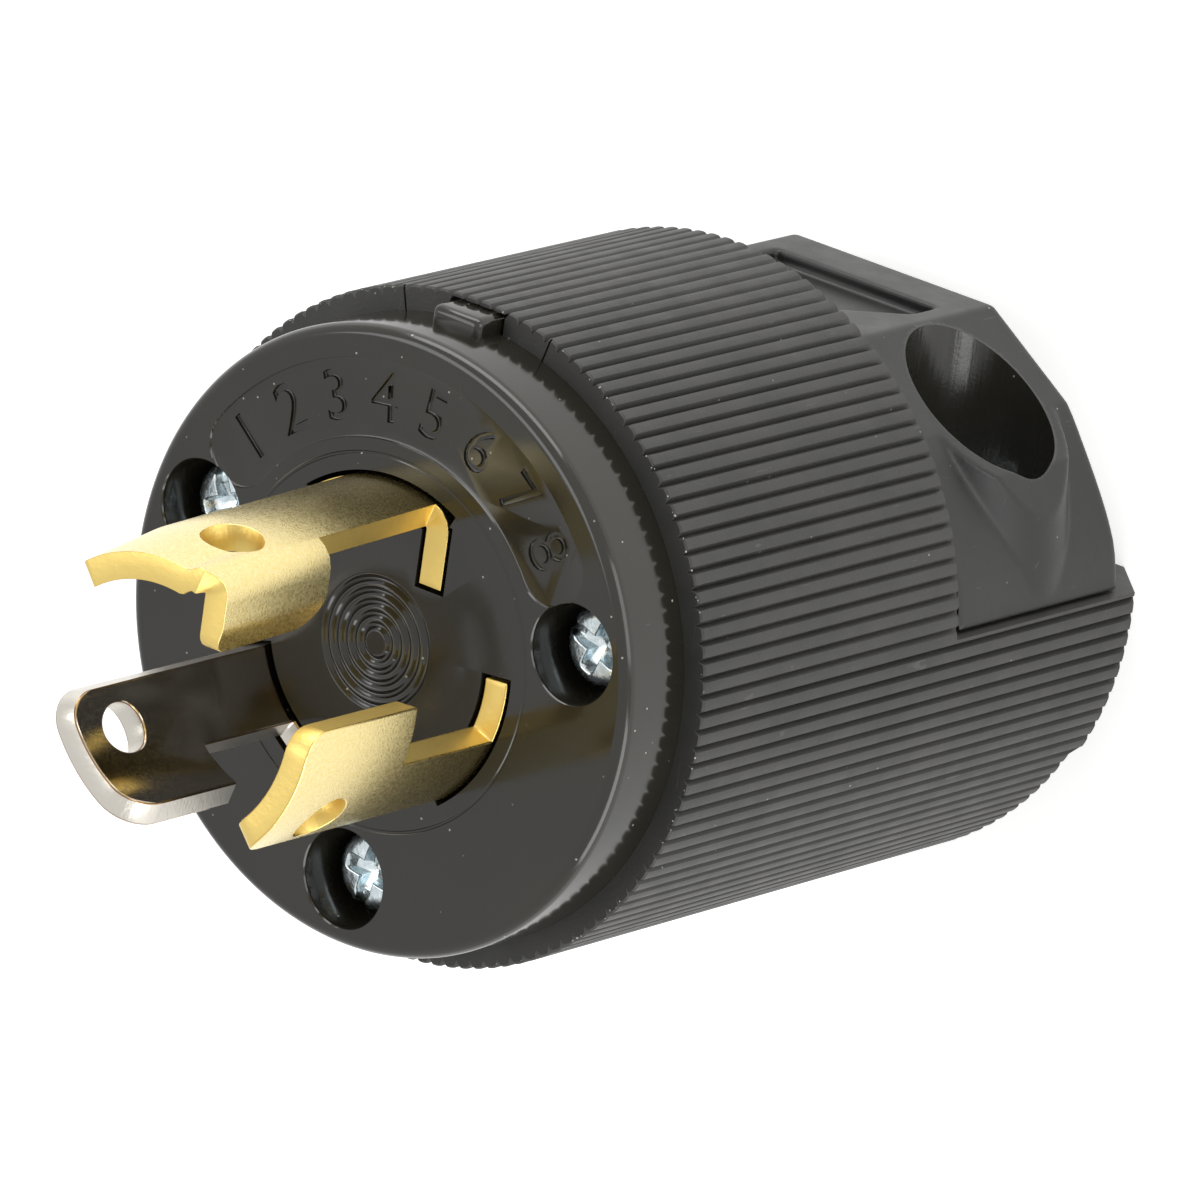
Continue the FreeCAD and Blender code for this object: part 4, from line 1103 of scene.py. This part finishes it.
def screw_tree(sizes, finish):
    """Geometry Nodes tree of a screw with its seat at the origin, pointing down."""
    tree, given = new_tree("combination screw", sizes)
    grid, spot = grid_places(tree, given["Columns"], TOP_ROWS + 6)

    # Radius of the rows on the head, and the height of its rounded rim
    head = work_out(tree, {**given, **spot}, [
        ("share", "DIVIDE", "row", TOP_ROWS - 1),
        ("radius", "MULTIPLY", "share", "Head radius"),
        ("rounding", "MULTIPLY", "Head height", 0.5),
        ("flat", "SUBTRACT", "Head radius", "rounding"),
        ("beyond", "SUBTRACT", "radius", "flat"),
        ("past", "MAXIMUM", "beyond", 0.0),
        ("past square", "MULTIPLY", "past", "past"),
        ("rounding square", "MULTIPLY", "rounding", "rounding"),
        ("left", "SUBTRACT", "rounding square", "past square"),
        ("kept", "MAXIMUM", "left", 0.0),
        ("fall", "SQRT", "kept"),
        ("rim", "SUBTRACT", "Head height", "rounding"),
        ("dome", "ADD", "rim", "fall"),
    ])

    # Drive: u and v run across the slot and the cross, each inside a soft limit
    head = work_out(tree, head, [
        ("turned", "ADD", "angle", "Turn"),
        ("cosine", "COSINE", "turned"),
        ("across", "MULTIPLY", "radius", "cosine"),
        ("u", "ABSOLUTE", "across"),
        ("sine", "SINE", "turned"),
        ("upright", "MULTIPLY", "radius", "sine"),
        ("v", "ABSOLUTE", "upright"),
    ])

    def inside(name, limit):
        """1 where a value is under a share of the head's radius, with a soft change."""
        edge = work_out(tree, given, [("near", "MULTIPLY", "Head radius", 1.25 * limit),
                                      ("far", "MULTIPLY", "Head radius", 0.8 * limit)])
        return add(tree, "ShaderNodeMapRange", {"interpolation_type": "SMOOTHSTEP", "Value": head[name],
                                                "From Min": edge["near"], "From Max": edge["far"]})

    head.update({"slot": inside("v", 0.13), "u arm": inside("u", 0.17), "v arm": inside("v", 0.17),
                 "reach": inside("radius", 0.58)})
    drive = work_out(tree, head, [
        ("slot depth", "MULTIPLY", "slot", "Drive depth"),
        ("arms", "MAXIMUM", "u arm", "v arm"),
        ("cross", "MULTIPLY", "arms", "reach"),
        ("taper", "MULTIPLY_ADD", "share", -1.6, 1.9),
        ("arm depth", "MULTIPLY", "Drive depth", "taper"),
        ("cross depth", "MULTIPLY", "cross", "arm depth"),
        ("deepest", "MAXIMUM", "slot depth", "cross depth"),
        ("height", "SUBTRACT", "dome", "deepest"),
    ])

    # The rows below the head follow the shank down to its tip
    drive = work_out(tree, drive, [
        ("half", "MULTIPLY", "Shank radius", 0.5),
        ("bottom", "MULTIPLY", "Shank length", -1.0),
        ("taper end", "ADD", "bottom", "half"),
        ("under", "SUBTRACT", "row", TOP_ROWS),
        ("below", "MAXIMUM", "under", 0.0),
        ("on head", "LESS_THAN", "row", TOP_ROWS - 0.5),
    ])
    shank, half, bottom = drive["Shank radius"], drive["half"], drive["bottom"]
    drive["low radius"], drive["low height"] = by_row(
        tree, drive["below"], [drive["Head radius"], shank, shank, half, 0.0, 0.0],
        [0.0, 0.0, drive["taper end"], bottom, bottom, bottom])
    drive = work_out(tree, drive, [
        ("wider", "SUBTRACT", "radius", "low radius"),
        ("screw radius", "MULTIPLY_ADD", "wider", "on head", "low radius"),
        ("higher", "SUBTRACT", "height", "low height"),
        ("screw height", "MULTIPLY_ADD", "higher", "on head", "low height"),
    ])
    roll(tree, grid, drive["angle"], drive["screw radius"], drive["screw height"], finish)
    return tree


def screws(name, node, sizes, places):
    """Screws of one size, each grown and set at a place with its own turn, as one piece."""
    made = []
    for matrix, turn in places:
        sizes["Turn"] = math.radians(turn)
        screw = grown("screw", screw_tree(sizes, zinc_plate), sizes)
        screw.data.transform(matrix)
        made.append(screw)
    piece = joined(name, made)
    smooth_by_angle(piece, 50)
    dress(piece, zinc_plate, node)


face_places = []
for spot, turn in zip(SCREW_SPOTS, (20.0, 65.0, 100.0)):
    face_places.append((Matrix.Translation(mm(*spot, WELL_FLOOR)), turn))
screws("face_screws", "assembly_screws", {
    "Columns": SCREW_COLUMNS, "Head radius": 2.15, "Head height": 1.5, "Shank radius": 1.3,
    "Shank length": 17.5, "Drive depth": 0.45, "Turn": 0.0}, face_places)
jaw_places = []
for side in (1, -1):
    seat = Matrix.Translation(mm(side * CLAMP_X, WELL_BOTTOM, CLAMP_Z))
    jaw_places.append((seat @ Matrix.Rotation(-math.pi / 2, 4, "X"), 35.0 * side))
screws("jaw_screws", "clamp_screws", {
    "Columns": SCREW_COLUMNS, "Head radius": 3.3, "Head height": 2.3, "Shank radius": 1.7,
    "Shank length": 12.7, "Drive depth": 0.7, "Turn": 0.0}, jaw_places)

# %% [markdown]
# The pieces inside and the fasteners keep their CAD meshes and get the finish of the real metal or
# plastic.

# %% Finishes of the kept nodes
KEPT = {
    "terminal_body": inner_nylon,
    "terminal_cover": inner_nylon,
    "dust_shield": membrane_rubber,
    "ground_clamp_plate": zinc_plate,
    "hot_clamp_plate": rolled_brass,
    "neutral_clamp_plate": zinc_plate,
    "ground_terminal_screw": green_plate,
    "hot_terminal_screw": rolled_brass,
    "neutral_terminal_screw": zinc_plate,
    "assembly_inserts": rolled_brass,
    "clamp_nuts": zinc_plate,
}
for node, finish in KEPT.items():
    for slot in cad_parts[node].material_slots:
        slot.material = finish
print("Kept nodes:", len(KEPT))

# %% [markdown]
# The plug stands on a plain pale table. The room is white where the camera or a reflection sees it,
# but lights the plug only softly, so that black stays black and metal mirrors a bright studio.

# %% Floor and room
WHITE = (1, 1, 1, 1)
FLOOR_GLOW = 0.6
ROOM_LIGHT = 0.35


def seen_directly(tree):
    """1 for rays from the camera, from a mirror or through glass, 0 for rays that carry light."""
    path = add(tree, "ShaderNodeLightPath").outputs
    seen = add(tree, "ShaderNodeMath", {"operation": "ADD", 0: path["Is Camera Ray"], 1: path["Is Glossy Ray"]})
    return add(tree, "ShaderNodeMath", {"operation": "ADD", "use_clamp": True,
                                        0: seen, 1: path["Is Transmission Ray"]})


floor_finish, tree = material("pale table")
paper = add(tree, "ShaderNodeBsdfPrincipled", {
    "Roughness": 0.8, "Base Color": cloudy(tree, "#f4f4f2", "#f8f8f6", 60.0)})
strength = add(tree, "ShaderNodeMath", {"operation": "MULTIPLY", 0: seen_directly(tree), 1: FLOOR_GLOW})
glow = add(tree, "ShaderNodeEmission", {"Color": WHITE, "Strength": strength})
finish_material(tree, add(tree, "ShaderNodeAddShader", {0: paper, 1: glow}))
bm = bmesh.new()
bmesh.ops.create_grid(bm, x_segments=1, y_segments=1, size=3.0)
table = mesh_object("table", bm, floor_finish)

world = bpy.data.worlds.new("studio")
world.use_nodes = True
tree = world.node_tree
tree.nodes.clear()
strength = add(tree, "ShaderNodeMapRange", {"To Min": ROOM_LIGHT, "To Max": 1.0, "Value": seen_directly(tree)})
sky = add(tree, "ShaderNodeBackground", {"Color": WHITE, "Strength": strength})
add(tree, "ShaderNodeOutputWorld", {"Surface": sky})
bpy.context.scene.world = world

# %% [markdown]
# Four softboxes light the plug. The largest hangs where the photograph's top is, so the barrel is
# brightest on its upper ribs. The side, low and left ones are weaker and draw the streaks on the
# blades and on the wall of the face.

# %% Lights


def softbox(name, place, target, width, height, power):
    """Area lamp at a place in metres, turned to a target."""
    lamp = bpy.data.lights.new(name, "AREA")
    lamp.shape = "RECTANGLE"
    lamp.size = width
    lamp.size_y = height
    lamp.energy = power
    made = bpy.data.objects.new(name, lamp)
    bpy.context.scene.collection.objects.link(made)
    aim = Vector(target) - Vector(place)
    made.matrix_world = Matrix.Translation(place) @ aim.to_track_quat("-Z", "Y").to_matrix().to_4x4()
    return made


MIDDLE = Vector((0.0, 0.0, 0.03))
softbox("top box", MIDDLE + UP * 0.6 + BACK * 0.15, MIDDLE, 0.7, 0.5, 4.5)
softbox("side box", MIDDLE + RIGHT * 0.5 + BACK * 0.55, MIDDLE, 0.4, 0.5, 1.6)
softbox("low box", MIDDLE - UP * 0.5 + RIGHT * 0.2 + BACK * 0.3, MIDDLE, 0.5, 0.3, 1.8)
softbox("left box", MIDDLE - RIGHT * 0.6 + BACK * 0.35 + UP * 0.1, MIDDLE, 0.3, 0.5, 1.2)

# %% View settings
bpy.context.scene.view_settings.view_transform = "Standard"
